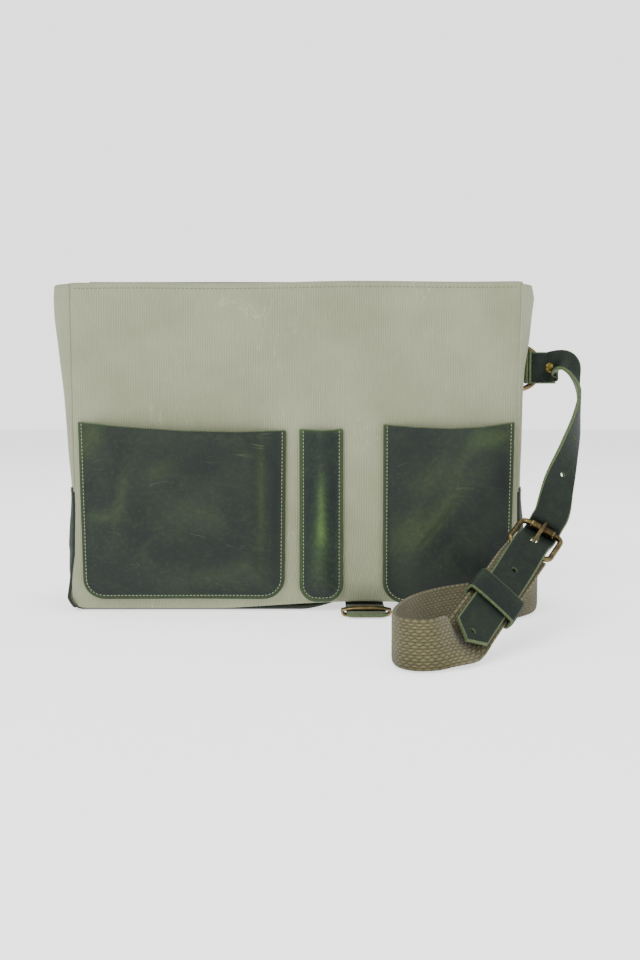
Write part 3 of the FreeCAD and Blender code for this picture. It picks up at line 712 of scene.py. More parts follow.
def panel_row(points, drop):
    """A line across a panel, drop mm below its mouth, with outward normals."""
    normal = grid_normals(points)
    out = -1 if points[:, :, 1].mean() < 0 else 1
    if float(np.sum(normal[:, :, 1])) * out < 0:
        normal = -normal
    j = points.shape[1] - 1 - drop / (TOP / (points.shape[1] - 1))
    j0 = int(j)
    f = j - j0
    line = points[:, j0] * (1 - f) + points[:, j0 + 1] * f
    return line[2:-2], normal[2:-2, j0]


seams = []
for points in (FRONT, BACK):
    line, normal = panel_row(points, 3.6)
    seams.append(stitches("s", line, normal, 2.5, CANVAS_THREAD, r=0.24))
seam_thread = join("canvas_stitching", seams)
settle(seam_thread, "bag", "canvas")


def hem_band(points, out):
    """The doubled hem: a second layer of cloth whose lower edge shows below the mouth, inside."""
    rows = points[:, -11:].copy()
    rows[:, :, 1] -= out * 1.75
    rows[:, :, 2] -= 0.2
    rows[:, :, 0] *= 0.985
    return rows


hem_front = slab("hem_f", hem_band(FRONT, -1), HEM_T, (CANVAS,) * 3, out=(0, -1, 0))
hem_back = slab("hem_b", hem_band(BACK, 1), HEM_T, (CANVAS,) * 3, out=(0, 1, 0))


# ---- sides ----------------------------------------------------------------------------------
def side_swell(z, side):
    """How far a side stands out from the corner seam at a height."""
    zs = [0, 5, 14, 25, 40, 55, 68, 76, 90, 110, 130, 150, 165, 180, 192, 201]
    if side < 0:
        ws = [-2.2, -1.8, 0.2, 3.6, 5.4, 5.0, 4.0, 4.0, 4.8, 5.6, 7.2, 9.2, 10.4, 12.0, 12.6, 12.0]
    else:
        ws = [-1.0, 0.5, 3.0, 5.0, 5.6, 5.0, 3.6, 3.4, 3.4, 3.6, 4.2, 5.4, 7.4, 8.6, 10.2, 8.4]
    return np.interp(z, zs, ws)


SIDE_PEAK = -0.32       # where a side stands out most, as a share of the half depth


def side_points(side, z0, z1, nz, ny=41, thick_in=0.0):
    """A side panel between two heights; it swells most near the front and is flat at the ring."""
    def place(u, z):
        if u < SIDE_PEAK:
            bell = 1 - ((SIDE_PEAK - u) / (1 + SIDE_PEAK)) ** 2.2
        else:
            t = (u - SIDE_PEAK) / (1 - SIDE_PEAK)
            taut = min(1.0, max(0.0, (z - 60) / 40))
            bell = (1 - t ** 2) * (1 - taut) + (1 - t ** 1.15) * taut
        near_ring = math.exp(-((z - 150) / 17.0) ** 2) * smooth((u + 0.55) / 0.4)
        bell *= 1 - 0.80 * near_ring
        ripple = 0.35 * math.sin(z / 11.0 + 3 * u) * (1 - u * u)
        x = edge_x(z, side) + side * (side_swell(z, side) * bell + ripple - 0.4 - thick_in)
        return x, u * (lean_y(z) - 0.9), z

    return sheet(np.linspace(-1, 1, ny), np.linspace(z0, z1, nz), place)


def side_x(side, y, z):
    """X of a side's outer face."""
    pts = side_points(side, z, z + 0.1, 2)
    return float(np.interp(y, pts[:, 0, 1], pts[:, 0, 0]))


for side, word in ((1, "right"), (-1, "left")):
    gusset_pts = side_points(side, BOOT_TOP - 3.0, TOP - 0.2, 70, thick_in=0.7)
    gusset = slab("side_cloth_" + word, gusset_pts, SIDE_T, (CANVAS,) * 3, out=(side, 0, 0))
    boot_pts = side_points(side, 1.2, BOOT_TOP, 50)
    for j in range(6):
        tuck = (1 - j / 5.0) ** 2
        boot_pts[:, j, 0] -= side * 3.2 * tuck
    boot = slab("side_leather_" + word, boot_pts, BODY_LEATHER_T, (LEATHER, SUEDE, LEATHER), out=(side, 0, 0))
    row = boot_pts[2:-2, -2].copy()
    row[:, 2] = BOOT_TOP - 2.6
    n = np.tile([side, 0, 0], (len(row), 1))
    thread = stitches("side_thread_" + word, row, n, 3.5, THREAD)
    settle(gusset, "bag", "canvas", "side_gusset_" + word)
    settle(boot, "bag", "pull_up_leather", "side_boot_" + word)
    settle(thread, "bag", "pull_up_leather")


def base_points():
    """Underside of the bag; it follows the arch over the closure strap."""
    def place(x, y):
        t = np.clip(1 - abs(x - CLOSURE_X) / 40.0, 0, 1)
        z = 0.2 + 4.8 * min(1.0, 1.75 * smooth(t))
        z += 1.6 * (1 - smooth((HALF_W - abs(x)) / 6.0))
        return x, y, z + 1.2 * (1 - smooth((BASE_HALF - 1.4 - abs(y)) / 3.0))

    return sheet(np.linspace(-HALF_W - 0.5, HALF_W + 0.5, 131),
                 np.linspace(-BASE_HALF + 4.2, BASE_HALF - 1.8, 31), place)


# its cut rim uses the dark face leather, not the paler edge leather: painted shade where the rim lies in
# shadow under the bag
base = slab("base_leather", base_points(), BODY_LEATHER_T, (LEATHER, SUEDE, LEATHER), out=(0, 0, -1))
settle(base, "bag", "pull_up_leather", "base_strip")


# ---- lining ---------------------------------------------------------------------------------
LINING_LOW = node_mm("lining")[0][2]


def lining_z(v):
    return LINING_LOW + (TOP - 12.0 - LINING_LOW) * v


def lining_wall(side):
    """Lining of the front or back: hangs from the hem, a little slack."""
    def place(u, v):
        x, z = u * (HALF_W - 4.0), lining_z(v)
        slack = 1.6 * math.sin(x / 24.0 + side) * math.sin(math.pi * v)
        slack += 1.2 * math.sin(x / 60.0 + z / 30.0)
        return x, side * (lean_y(z) - 4.6 - abs(slack) * (1 - v * 0.8)), z

    return sheet(np.linspace(-1, 1, 81), np.linspace(0, 1, 41), place)


def lining_side(side):
    def place(u, v):
        z = lining_z(v)
        slack = 1.2 * math.sin(z / 26.0) * (1 - u * u)
        return side * (HALF_W - 4.0 - abs(slack)), u * (lean_y(z) - 4.6), z

    return sheet(np.linspace(-1, 1, 15), np.linspace(0, 1, 41), place)


def lining_floor():
    wide, painted_coil_shade = HALF_W - 4.2, BASE_HALF - 5.0
    return sheet(np.linspace(-wide, wide, 61), np.linspace(-painted_coil_shade, painted_coil_shade, 15),
                 lambda x, y: (x, y, LINING_LOW + 0.7 + 0.5 * math.sin(x / 17.0) * math.cos(y / 9.0)))


TRIO = (LINING,) * 3
walls = ((lining_wall(-1), (0, 1, 0)), (lining_wall(1), (0, -1, 0)), (lining_side(-1), (1, 0, 0)),
         (lining_side(1), (-1, 0, 0)), (lining_floor(), (0, 0, 1)))
parts = [slab("l%d" % k, pts, LINING_T, TRIO, out=out) for k, (pts, out) in enumerate(walls, 1)]
lining = join("lining_cloth", parts)
settle(lining, "bag", "lining_cloth", "lining")


def hem_side(side):
    pts = side_points(side, TOP - 18.0, TOP - 0.6, 11)
    pts[:, :, 0] -= side * 2.4
    pts[:, :, 1] *= 0.93
    return pts


hem = join("hem_band", [hem_front, hem_back,
                        slab("h3", hem_side(-1), HEM_T, (CANVAS,) * 3, out=(1, 0, 0)),
                        slab("h4", hem_side(1), HEM_T, (CANVAS,) * 3, out=(-1, 0, 0))])
settle(hem, "bag", "canvas", "hem_facing")


# ---- pockets --------------------------------------------------------------------------------
def pocket_points(x0, x1, z0, mouth, corner, swell, lean_in, crease, nu=121, nv=101):
    """Leather patch: rounded lower corners, flat at the seam, standing out in the middle.

    mouth gives the height of the upper edge at five places from left to right. lean_in narrows
    the pocket at its lower left and lower right. Also gives each point's distance to the sewn edge.
    """
    pts = np.zeros((nu, nv, 3))
    rise = np.zeros((nu, nv))
    edges = np.zeros((nu, nv))
    for j, v in enumerate(np.linspace(0, 1, nv) ** 1.35):
        for i, u in enumerate(np.linspace(0, 1, nu)):
            top = np.interp(u, [0, 0.25, 0.5, 0.75, 1], mouth)
            z = z0 + (top - z0) * v
            d = corner - (z - z0)
            cut = corner - math.sqrt(max(0.0, corner ** 2 - d ** 2)) if d > 0 else 0.0
            k = 1 - (z - z0) / (top - z0)
            left, right = x0 + lean_in[0] * k, x1 - lean_in[1] * k
            x = left + cut + (right - left - 2 * cut) * u
            edge = min(x - left, right - x, z - z0)
            if d > 0:
                for cx, near in ((left + corner, x - left), (right - corner, right - x)):
                    if near < corner:
                        edge = corner - math.hypot(x - cx, z - z0 - corner)
            edge = max(0.0, edge)
            wide = min(0.42 * (x1 - x0), 22.0)
            up = swell * smooth((edge - 2.4) / wide) * (0.72 + 0.28 * smooth(v * 1.6))
            up += 0.5 * smooth(edge / 2.4) * (1 - smooth((edge - 2.4) / 3.0))
            for cx, cz, turn, long, depth, spread in crease:
                a = math.radians(turn)
                run = (x - cx) * math.cos(a) + (z - cz) * math.sin(a)
                off = (z - cz) * math.cos(a) - (x - cx) * math.sin(a)
                reach = math.exp(-(run / long) ** 4)
                ridge = 0.5 * math.exp(-((off - 2.2 * spread) / (2 * spread)) ** 2)
                up -= depth * reach * (math.exp(-(off / spread) ** 2) - ridge)
            up += 0.35 * math.sin(x / 13.0 + z / 31.0) * smooth(edge / 10.0)
            rise[i, j] = up + 2.3
            edges[i, j] = edge
            pts[i, j] = (x, 0, z)
    pts[:, :, 1] = on_front(pts[:, :, 0], pts[:, :, 2]) - rise
    return pts, edges


def pocket_wear_and_painted_light(pts, edges, blobs, z_top):
    """Rim, light and dark shares for a pocket: a pale rim, and patches made lighter or darker, partly as
    rubbed and oiled hide and partly as painted highlight and painted shade on its ridges and creases. A blob
    is (x, z, long, wide, turn, share).
    """
    wear_and_painted_light = np.zeros((*edges.shape, 3))
    wear_and_painted_light[:, :, 0] = 0.55 * (1 - smooth((edges - 1.6) / 1.0))
    wear_and_painted_light[:, :, 0] += 0.5 * np.exp(-((z_top - pts[:, :, 2]) / 2.0) ** 2)
    for x, z, long, wide, turn, share in blobs:
        a = math.radians(turn)
        run = (pts[:, :, 0] - x) * math.cos(a) + (pts[:, :, 2] - z) * math.sin(a)
        off = (pts[:, :, 2] - z) * math.cos(a) - (pts[:, :, 0] - x) * math.sin(a)
        part = np.exp(-np.abs(run / long) ** 2.5 - (off / wide) ** 2) * abs(share)
        wear_and_painted_light[:, :, 1 if share > 0 else 2] += part
    return np.clip(wear_and_painted_light, 0, 1)


def rim_line(pts, inset):
    """A line inset mm inside a pocket's sewn edge, down one side, round and up the other."""
    nu, nv, _ = pts.shape
    normal = grid_normals(pts)
    if float(np.sum(normal[:, :, 1])) > 0:
        normal = -normal
    ring = [(0, j) for j in range(nv - 1, 0, -1)] + [(i, 0) for i in range(nu)]
    ring += [(nu - 1, j) for j in range(1, nv)]
    outline = np.array([pts[i, j] for i, j in ring])
    flat = outline[:, [0, 2]]
    tangent = unit(np.gradient(flat, axis=0))
    kernel = np.ones(5) / 5
    for k in range(2):
        padded = np.pad(tangent[:, k], 2, mode="edge")
        tangent[:, k] = np.convolve(padded, kernel, "valid")
    tangent = unit(tangent)
    inward = np.stack([-tangent[:, 1], tangent[:, 0]], axis=1)
    centre = flat.mean(axis=0)
    if float(np.sum(inward * (centre - flat))) < 0:
        inward = -inward
    line = flat + inward * inset
    tree = pts.reshape(-1, 3)
    out, norms = [], []
    flat_all = tree[:, [0, 2]]
    nn = normal.reshape(-1, 3)
    for p in line:
        d2 = np.sum((flat_all - p) ** 2, axis=1)
        near = np.argsort(d2)[:4]
        w = 1 / (d2[near] + 0.02)
        w /= w.sum()
        out.append((p[0], float(np.sum(tree[near, 1] * w)), p[1]))
        norms.append(np.sum(nn[near] * w[:, None], axis=0))
    out = np.array(out)
    keep = np.concatenate([[True], np.linalg.norm(np.diff(out, axis=0), axis=1) > 0.2])
    out, norms = out[keep], np.array(norms)[keep]
    for k in range(3):
        padded = np.pad(out[:, k], 2, mode="edge")
        out[:, k] = np.convolve(padded, kernel, "valid")
    return out, unit(norms)


# A crease or a mark sits at a share of the pocket's width from the left and of its height from below, judged
# from the photograph; then come millimetres, degrees and strength.
# name, hide, swell, mouth above the box top, corner, lean, creases (turn, long, depth, spread), marks (long,
# wide, turn, light or dark share), which hold rubbed and oiled patches together with painted highlights and
# painted shade along ridges and creases
POCKETS = (
    # phone pocket: the narrow pale streak beside the right-hand crease is a painted highlight, the dark
    # streak right of it painted shade
    ("phone_pocket", LEATHER, 6.0, (2.2, -0.6, -2.8, -3.6, -3.0), 13.0, (2.4, 1.2),
     [(0.35, 0.60, 20, 40, 0.4, 7.0), (0.80, 0.30, 65, 30, 0.4, 9.0), (0.90, 0.55, 90, 42, 0.5, 3.0)],
     [(0.05, 0.92, 14, 8, 60, 0.40), (0.88, 0.60, 34, 2.2, 90, 0.42), (0.95, 0.55, 50, 4.2, 90, -0.9),
      (0.12, 0.48, 9, 3.5, 10, 0.35), (0.40, 0.75, 9, 5, 30, 0.28), (0.22, 0.60, 18, 3, 80, 0.25),
      (0.55, 0.50, 22, 10, 0, 0.16), (0.20, 0.15, 16, 9, 10, -0.5), (0.70, 0.15, 26, 6, 8, 0.20),
      (0.55, 0.80, 26, 9, 5, -0.5), (0.65, 0.30, 22, 9, 0, -0.5)]),
    # pen pocket: the pale streak down its middle is a painted highlight on the pen's bulge, the dark streaks
    # at its sides painted shade
    ("pen_pocket", LEATHER_PEN, 4.6, (-0.2, -0.6, -0.9, -0.7, 0.0), 11.0, (0.0, 0.0), [],
     [(0.50, 0.55, 17, 2.6, 90, 0.70), (0.50, 0.40, 8, 3.6, 90, 0.60), (0.45, 0.25, 14, 5, 90, 0.25),
      (0.80, 0.60, 22, 2.8, 90, -0.9), (0.20, 0.55, 24, 2.2, 90, -0.5), (0.50, 0.90, 9, 8, 90, -0.4)]),
    # card pocket: the pale streak along the slanting crease is a painted highlight on its ridge
    ("card_pocket", LEATHER, 6.0, (-0.8, -2.2, -3.0, -2.0, 0.6), 14.0, (0.0, 1.8),
     [(0.42, 0.45, 52, 24, 0.9, 1.5), (0.55, 0.75, 58, 24, 0.4, 4.0)],
     [(0.83, 0.92, 12, 6, 10, 0.60), (0.40, 0.48, 26, 5.5, 52, 0.42), (0.18, 0.40, 14, 7, 60, 0.40),
      (0.35, 0.70, 16, 8, 50, 0.25), (0.60, 0.80, 20, 4, 60, 0.22), (0.92, 0.70, 18, 6, 100, -0.8),
      (0.18, 0.85, 14, 9, 60, -0.6), (0.72, 0.55, 16, 9, 60, -0.35), (0.90, 0.35, 14, 9, 50, -0.9),
      (0.50, 0.10, 34, 9, 6, -0.9), (0.20, 0.12, 14, 7, 100, 0.18)]),
)
for name, skin, swell, mouth, corner, lean_in, creases, blobs in POCKETS:
    low, high = node_mm(name)
    mouth = [high[2] + rise for rise in mouth]
    creases, blobs = [[(low[0] + u * (high[0] - low[0]), low[2] + v * (high[2] - low[2]), *rest)
                       for u, v, *rest in marks] for marks in (creases, blobs)]
    pts, edges = pocket_points(low[0], high[0], low[2], mouth, corner, swell, lean_in, creases)
    wear_and_painted_light = pocket_wear_and_painted_light(pts, edges, blobs, np.max(pts[:, -1, 2]))
    patch = slab(name + "_leather", pts, BODY_LEATHER_T, (skin, SUEDE, EDGE), out=(0, -1, 0), wear_and_painted_light=wear_and_painted_light)
    line, normal = rim_line(pts, 2.5)
    thread = stitches(name + "_thread", line, normal, 2.2, THREAD, r=0.21)
    settle(patch, "bag", "pull_up_leather", name)
    settle(thread, "bag", "pull_up_leather")


# ---- flap -----------------------------------------------------------------------------------
JOINT = {j["name"]: j for j in frame["joints"]}


def joint_mm(name):
    return np.array(JOINT[name]["pos_m"], float) / MM


HINGE = joint_mm("flap_hinge")
CREASE = joint_mm("flap_crease")
TIP_BEND = joint_mm("closure_tip_bend")
FLAP_HALF = node_mm("flap_front")[1][0]
SPINE = float(np.linalg.norm(CREASE - HINGE))
DOWN = unit(CREASE - HINGE)
FLAP_LEN = SPINE + float(node_mm("flap_front")[1][2] - node_mm("flap_front")[0][2]) / abs(DOWN[2])


def sheet_from_profile(profile, half, name, thick, skins, out, nx=137):
    prof, _ = spline([(0, y, z) for y, z in profile], 0.6)
    pts = sheet(np.linspace(-half, half, nx), prof, lambda x, p: (x, p[1], p[2]))
    return slab(name, pts, thick, skins, out=out)


def flap_at(s):
    """Y and Z of the flap's middle this far below its hinge."""
    p = HINGE + DOWN * s
    return p[1], p[2]


root_profile = [(20.7, 180.0), (20.7, 188.0), (20.75, 198.6), (21.2, 201.6), (22.3, 203.2),
                (23.6, 203.4), (24.7, 202.4), (25.15, 200.4)]
root_profile += [(flap_at(s)[0] + 1.1, flap_at(s)[1]) for s in (6, 14)]
root = sheet_from_profile(root_profile, FLAP_HALF - 0.4, "flap_root", 2.2, FLAP_SKINS, (0, 1, 0))
for v in root.data.vertices:
    if v.co.y < 0.0216 and v.co.z < 0.2005:
        v.co.y += 0.0012
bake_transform(root)
dress(root, "pull_up_leather", "flap_anchor")


def flap_points():
    """Outer face of the flap as it hangs; its free corners are round and it waves a little."""
    s0, s1, corner = 13.6, FLAP_LEN, 26.0
    rounded = s1 - corner + corner * np.sin(np.linspace(0, math.pi / 2, 26))[1:]
    rows = np.concatenate([np.linspace(s0, s1 - corner, 100), rounded])
    pts = np.zeros((141, len(rows), 3))
    for j, s in enumerate(rows):
        d = s - (s1 - corner)
        cut = corner - math.sqrt(max(0.0, corner ** 2 - d ** 2)) if d > 0 else 0.0
        half = FLAP_HALF - cut
        for i, u in enumerate(np.linspace(-1, 1, 141)):
            x = u * half
            y, z = flap_at(s)
            calm = smooth((s - 14) / 30.0) * (1 - 0.96 * math.exp(-((s - SPINE) / 30.0) ** 2))
            wave = calm * (0.8 * math.sin(x / 41.0 + s / 60.0) + 0.45 * math.sin(x / 19.0 - s / 27.0))
            pts[i, j] = (x, y + wave - 1.1, z)
    return pts


FLAP = flap_points()
FLAP_T = 1.7                        # thinner than the CAD's, so that it clears the front when closed
flap = slab("flap_leather", FLAP, FLAP_T, FLAP_SKINS, out=(0, -1, 0))
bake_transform(flap)
dress(flap, "pull_up_leather", "flap_spine", "flap_front")

flap_line, flap_norm = rim_line(FLAP, 3.2)
threads = [stitches("f1", flap_line, flap_norm, 2.9, THREAD, r=0.27),
           stitches("f2", flap_line - flap_norm * 1.7, -flap_norm, 2.9, THREAD, r=0.27)]
flap_thread = join("flap_stitching", threads)
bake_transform(flap_thread)

# the closure strap: sewn to the flap, folded forward under the bag
STRAP_Z = float(np.mean([v[2] for v in node_mm("closure_strap")]))
CLOSURE_W = float(node_mm("closure_strap")[1][0] - node_mm("closure_strap")[0][0])


def closure_path(profile):
    path, _ = spline([(CLOSURE_X, y, z) for y, z in profile], 0.8)
    return path, np.tile([1.0, 0, 0], (len(path), 1))


face_y, face_z = flap_at(FLAP_LEN)
profile = [(face_y - 4.4, face_z + 26), (face_y - 3.6, face_z + 12), (face_y - 3.4, face_z + 3.0),
           (face_y - 4.2, STRAP_Z + 1.4), (face_y - 7.0, STRAP_Z + 0.1), (face_y - 12, STRAP_Z),
           (0, STRAP_Z), (TIP_BEND[1] + 8, STRAP_Z)]
c, w = closure_path(profile)
closure, _ = strap_mesh("closure_strap_leather", c, w, CLOSURE_W, 2.2, (SUEDE, LEATHER_STRAP, EDGE))
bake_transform(closure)
dress(closure, "pull_up_leather", "closure_strap")

tip_end = node_mm("closure_tip")[0][1]
c, w = closure_path([(TIP_BEND[1] + 8, STRAP_Z), (TIP_BEND[1] + 2, STRAP_Z),
                     (TIP_BEND[1] - 6, STRAP_Z + 0.2), (tip_end, STRAP_Z)])
run = c[0, 1] - c[:, 1]
left = run[-1] - run
tip_r = 3.4
tip_w = CLOSURE_W - 2 * tip_r * (1 - np.sqrt(np.clip(1 - np.clip(1 - left / tip_r, 0, 1) ** 2, 0, 1)))
tip, _ = strap_mesh("closure_tip_leather", c, w, tip_w, 2.3, (SUEDE, LEATHER_STRAP, EDGE))
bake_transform(tip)
dress(tip, "pull_up_leather", "closure_tip")


def clasp():
    """Cast loop round the strap's end: a crowned bar over it, bowed up, and a flat bar under it."""
    low, high = node_mm("closure_loop")
    centre, half = (low + high) / 2, (high[0] - low[0]) / 2
    us = np.linspace(-1, 1, 61)
    sides = 20
    verts = []
    for u in us:
        crown = 1 - abs(u) ** 2.6
        r_y = 3.5 * (0.55 + 0.45 * crown ** 0.5)
        r_z = 0.75 + 0.55 * crown
        mid = np.array([centre[0] + half * u, centre[1], STRAP_Z + 1.75 + 1.15 * crown])
        for k in range(sides):
            a = 2 * math.pi * k / sides
            ca, sa = math.cos(a), math.sin(a)
            y, z = math.copysign(abs(ca) ** 0.7, ca), math.copysign(abs(sa) ** 0.8, sa)
            verts.append(mid + np.array([0, r_y * y, r_z * z]))
    pieces = [make("c0", verts, ring_faces(len(us), sides), [METAL])]
    x = half - 1.1
    legs = [(-x, STRAP_Z + 1.6), (-x - 0.3, STRAP_Z), (-x + 1.2, STRAP_Z - 1.5), (0, STRAP_Z - 1.6),
            (x - 1.2, STRAP_Z - 1.5), (x + 0.3, STRAP_Z), (x, STRAP_Z + 1.6)]
    for dy in (-1.9, 0.0, 1.9):
        path, _ = spline([(centre[0] + a, centre[1] + dy, b + 0.35) for a, b in legs], 0.5)
        pieces.append(tube("c1", path, 0.95, METAL, sides=10))
    return join("closure_clasp", pieces)


loop = clasp()
settle(loop, "closure_tip", "antique_brass", "closure_loop")


# ---- rings and their tabs -------------------------------------------------------------------
BAR = joint_mm("strap_swing")
RING_R = (node_mm("ring_right")[1][2] - node_mm("ring_right")[0][2]) / 2 - 1.75


def ring(name, bar, way, node, body):
    way = unit(way)
    pts = []
    for a in np.linspace(-math.pi / 2 + 0.14, math.pi / 2 - 0.14, 40):
        pts.append(bar + way * (RING_R * math.cos(a)) + np.array([0, 0, RING_R * math.sin(a)]))
    for t in np.linspace(0, 1, 8)[1:-1]:
        bow = way * (0.9 - 0.9 * math.sin(math.pi * t)) * 0.6
        pts.append(bar + bow + np.array([0, 0, (1 - 2 * t) * (RING_R - 0.6)]))
    piece = tube(name, pts, 1.75, METAL, closed=True, sides=16)
    settle(piece, body, "antique_brass", node)


ring("d_ring_right", BAR, (1, 0, 0), "ring_right", "strap_front")
LEFT_BAR = np.array([-BAR[0], BAR[1], BAR[2]])
ring("d_ring_left", LEFT_BAR, (0, 1, 0), "ring_left", "strap_rear")


def tab(side, node):
    """Leather tab: two layers sewn to the side of the bag, folded round the ring's bar."""
    bar = np.array([side * BAR[0], BAR[1], BAR[2]])
    r = 2.95
    reach = (-11, -6, -1, 4) if side > 0 else (0.5, 2.5, 5)
    under = [(side_x(side, y, bar[2]) + side * 0.9, y) for y in reach]
    over = [(side_x(side, y, bar[2]) + side * 2.7, y) for y in reversed(reach)]
    around = []
    for a in (200, 165, 130, 90, 45, 0, -40, -75):
        t = math.radians(a)
        around.append((bar[0] + side * r * math.cos(t), bar[1] + r * math.sin(t)))
    c, _ = spline([(x, y, bar[2]) for x, y in under + around + over], 0.6)
    w = np.tile([0, 0, 1.0], (len(c), 1))
    band, _ = strap_mesh("t0", c, w, 20.0, 1.5, STRAP_SKINS)
    if side < 0:
        band.data.flip_normals()
    pieces = [band]
    for y in ((-8.5, 3.0) if side > 0 else (2.6, 5.4)):
        x = side_x(side, y, bar[2]) + side * 3.45
        line = np.array([(x, y, z) for z in np.linspace(bar[2] - 8, bar[2] + 8, 20)])
        pieces.append(stitches("t1", line, np.tile([side, 0, 0], (20, 1)), 3.2, THREAD))
    piece = join(node + "_leather", pieces)
    settle(piece, "bag", "pull_up_leather", node)


tab(1, "ring_tab_right")
tab(-1, "ring_tab_left")


# ---- shoulder strap -------------------------------------------------------------------------
ALONG = unit(JOINT["keeper_slide"]["axis"])
ACROSS0 = unit(JOINT["roller_spin"]["axis"])
OUT0 = unit(np.cross(ALONG, ACROSS0))
FRAME_OUT = -1.0
ROLLER = joint_mm("roller_spin") - OUT0 * FRAME_OUT
HEEL_S = float(np.dot(joint_mm("prong_hinge") - ROLLER, ALONG))
ACROSS1 = np.array([0.735, -0.153, -0.662])
TIP_S, KEEPER_S = 119.0, 77.0       # mm below the roller
LOW_HOLES_S, HIGH_HOLES_Z, HOLE_R = (52.0, 111.0), (128.0, 106.0, 86.0), 1.6
SLOT_S, SLOT_HALF, SLOT_R = 16.8, 7.2, 1.9
TIP_POINT = 9.5                     # the tip narrows over this length
STRAP_W, STRAP_T, WEB_W, WEB_T = 20.0, 2.2, 25.0, 2.0


def strap_frame(s):
    """Centre line, width direction and outward normal at s mm below the roller."""
    t = min(1.0, max(0.0, (s - 30.0) / 32.0))
    mixed = np.array([0.833, -0.306, -0.462]) * (1 - t) + ACROSS1 * t
    normal = unit(np.cross(ALONG, mixed))
    return ROLLER + ALONG * s, unit(np.cross(normal, ALONG)), normal


def local(points, s=0.0):
    """Points drawn as (along, across, out) from a place on the strap, in the row frame."""
    c, across, out = strap_frame(s)
    p = np.asarray(points, float)
    return c + p[:, :1] * ALONG + p[:, 1:2] * across + p[:, 2:3] * out


def smooth_path(centres, widths, step):
    rows = np.hstack([np.array(centres, float), unit(np.array(widths, float)) * 8.0])
    dense, _ = spline(rows, step)
    c, w = dense[:, :3], unit(dense[:, 3:])
    for _ in range(3):
        w[1:-1] = unit(w[:-2] + 2 * w[1:-1] + w[2:])
    return c, w


def lay_on_strap(stations, centres, widths):
    """Adds stations given as (distance below the roller, height over the strap's middle)."""
    for s, out in stations:
        c0, across, normal = strap_frame(s)
        centres.append(tuple(c0 + normal * out))
        widths.append(tuple(across))


def turn_round(x, y, degrees):
    """Places round a ring's wire at (x, y), at the height of the rings."""
    return [(x + LOOP_R * math.cos(math.radians(d)), y + LOOP_R * math.sin(math.radians(d)), BAR[2])
            for d in degrees]


APEX = BAR[0] + RING_R
LOOP_R, SLACK = 1.75 + 0.6 + STRAP_T / 2, 5.2
centres = [(APEX + 10.6, BAR[1] + 1.6, BAR[2]), (APEX + 6.2, BAR[1] + 1.9, BAR[2])]
centres += turn_round(APEX, BAR[1], (84,)) + turn_round(APEX - SLACK, BAR[1], (110, 150, 180, 210, 250))
centres += [(APEX, BAR[1] - LOOP_R, BAR[2]), (APEX + 6.2, BAR[1] - 1.9, BAR[2] + 0.3)]
widths = [(0, 0, 1)] * len(centres)
ARCH = [
    ((164.4, 11.4, 151.2), (0.02, 0.10, 1.0)), ((168.4, 7.8, 152.4), (0.30, 0.40, 0.85)),
    ((171.4, 2.0, 149.6), (0.38, 0.78, 0.46)), ((174.0, -5.5, 141.5), (0.24, 0.95, 0.16)),
    ((175.0, -14.5, 131.0), (0.20, 0.96, -0.20)), ((170.6, -28.0, 115.5), (0.38, 0.84, -0.36)),
    ((162.4, -43.0, 98.0), (0.62, 0.60, -0.42)), ((154.4, -53.0, 80.0), (0.82, 0.14, -0.46)),
]
centres += [p for p, _ in ARCH]
widths += [q for _, q in ARCH]
lay_on_strap(((-8.0, 5.6), (-5.0, 1.4), (-4.4, -1.6), (-2.8, -4.2), (0.4, -5.3), (6.0, -3.9),
              (13.0, -0.4), (20.0, 3.2), (26.0, 4.9), (34.0, 4.9), (46.0, 4.1), (62.0, 3.3),
              (80.0, 3.1), (100.0, 3.2), (110.0, 4.2), (TIP_S, 6.2)), centres, widths)
c, w = smooth_path(centres, widths, 0.8)
run = run_length(c)
width_at = STRAP_W * np.clip((run[-1] - run) / TIP_POINT, 0.06, 1.0)
strap, strap_axes = strap_mesh("shoulder_strap_leather", c, w, width_at, STRAP_T, STRAP_SKINS)


def cut(obj, cutters):
    """Cuts holes with closed meshes, and removes them."""
    for k, cutter in enumerate(cutters):
        mod = obj.modifiers.new("cut%d" % k, "BOOLEAN")
        mod.operation = "DIFFERENCE"
        mod.solver = "EXACT"
        mod.object = cutter
        bpy.context.view_layer.objects.active = obj
        obj.select_set(True)
        bpy.ops.object.modifier_apply(modifier=mod.name)
        bpy.data.objects.remove(cutter)


def plug(place, way, r, reach, stretch=None):
    """A round cutter, or an oblong one when stretch gives a direction and half length."""
    way = unit(way)
    ref = np.array([0.2, 0.3, 0.93])
    x = unit(np.cross(way, ref)) if stretch is None else unit(stretch[0])
    y = np.cross(way, x)
    rim = []
    for a in np.linspace(0, 2 * math.pi, 24, endpoint=False):
        shift = 0 if stretch is None else math.copysign(stretch[1], math.cos(a))
        rim.append(x * (r * math.cos(a) + shift) + y * r * math.sin(a))
    verts = [place + q - way * reach for q in rim] + [place + q + way * reach for q in rim]
    n = len(rim)
    faces = [tuple(reversed(range(n))), tuple(range(n, 2 * n))]
    faces += [(k, (k + 1) % n, n + (k + 1) % n, n + k) for k in range(n)]
    return make("cutter", verts, faces, [EDGE])


def strap_point(s):
    """The place on the leather strap nearest to s mm below the roller, its normal and its run."""
    away = np.linalg.norm(c - strap_frame(s)[0], axis=1)
    k = int(np.argmin(away + np.where(np.arange(len(c)) < len(c) * 0.45, 1e3, 0)))
    return c[k], strap_axes[2][k], strap_axes[0][k]


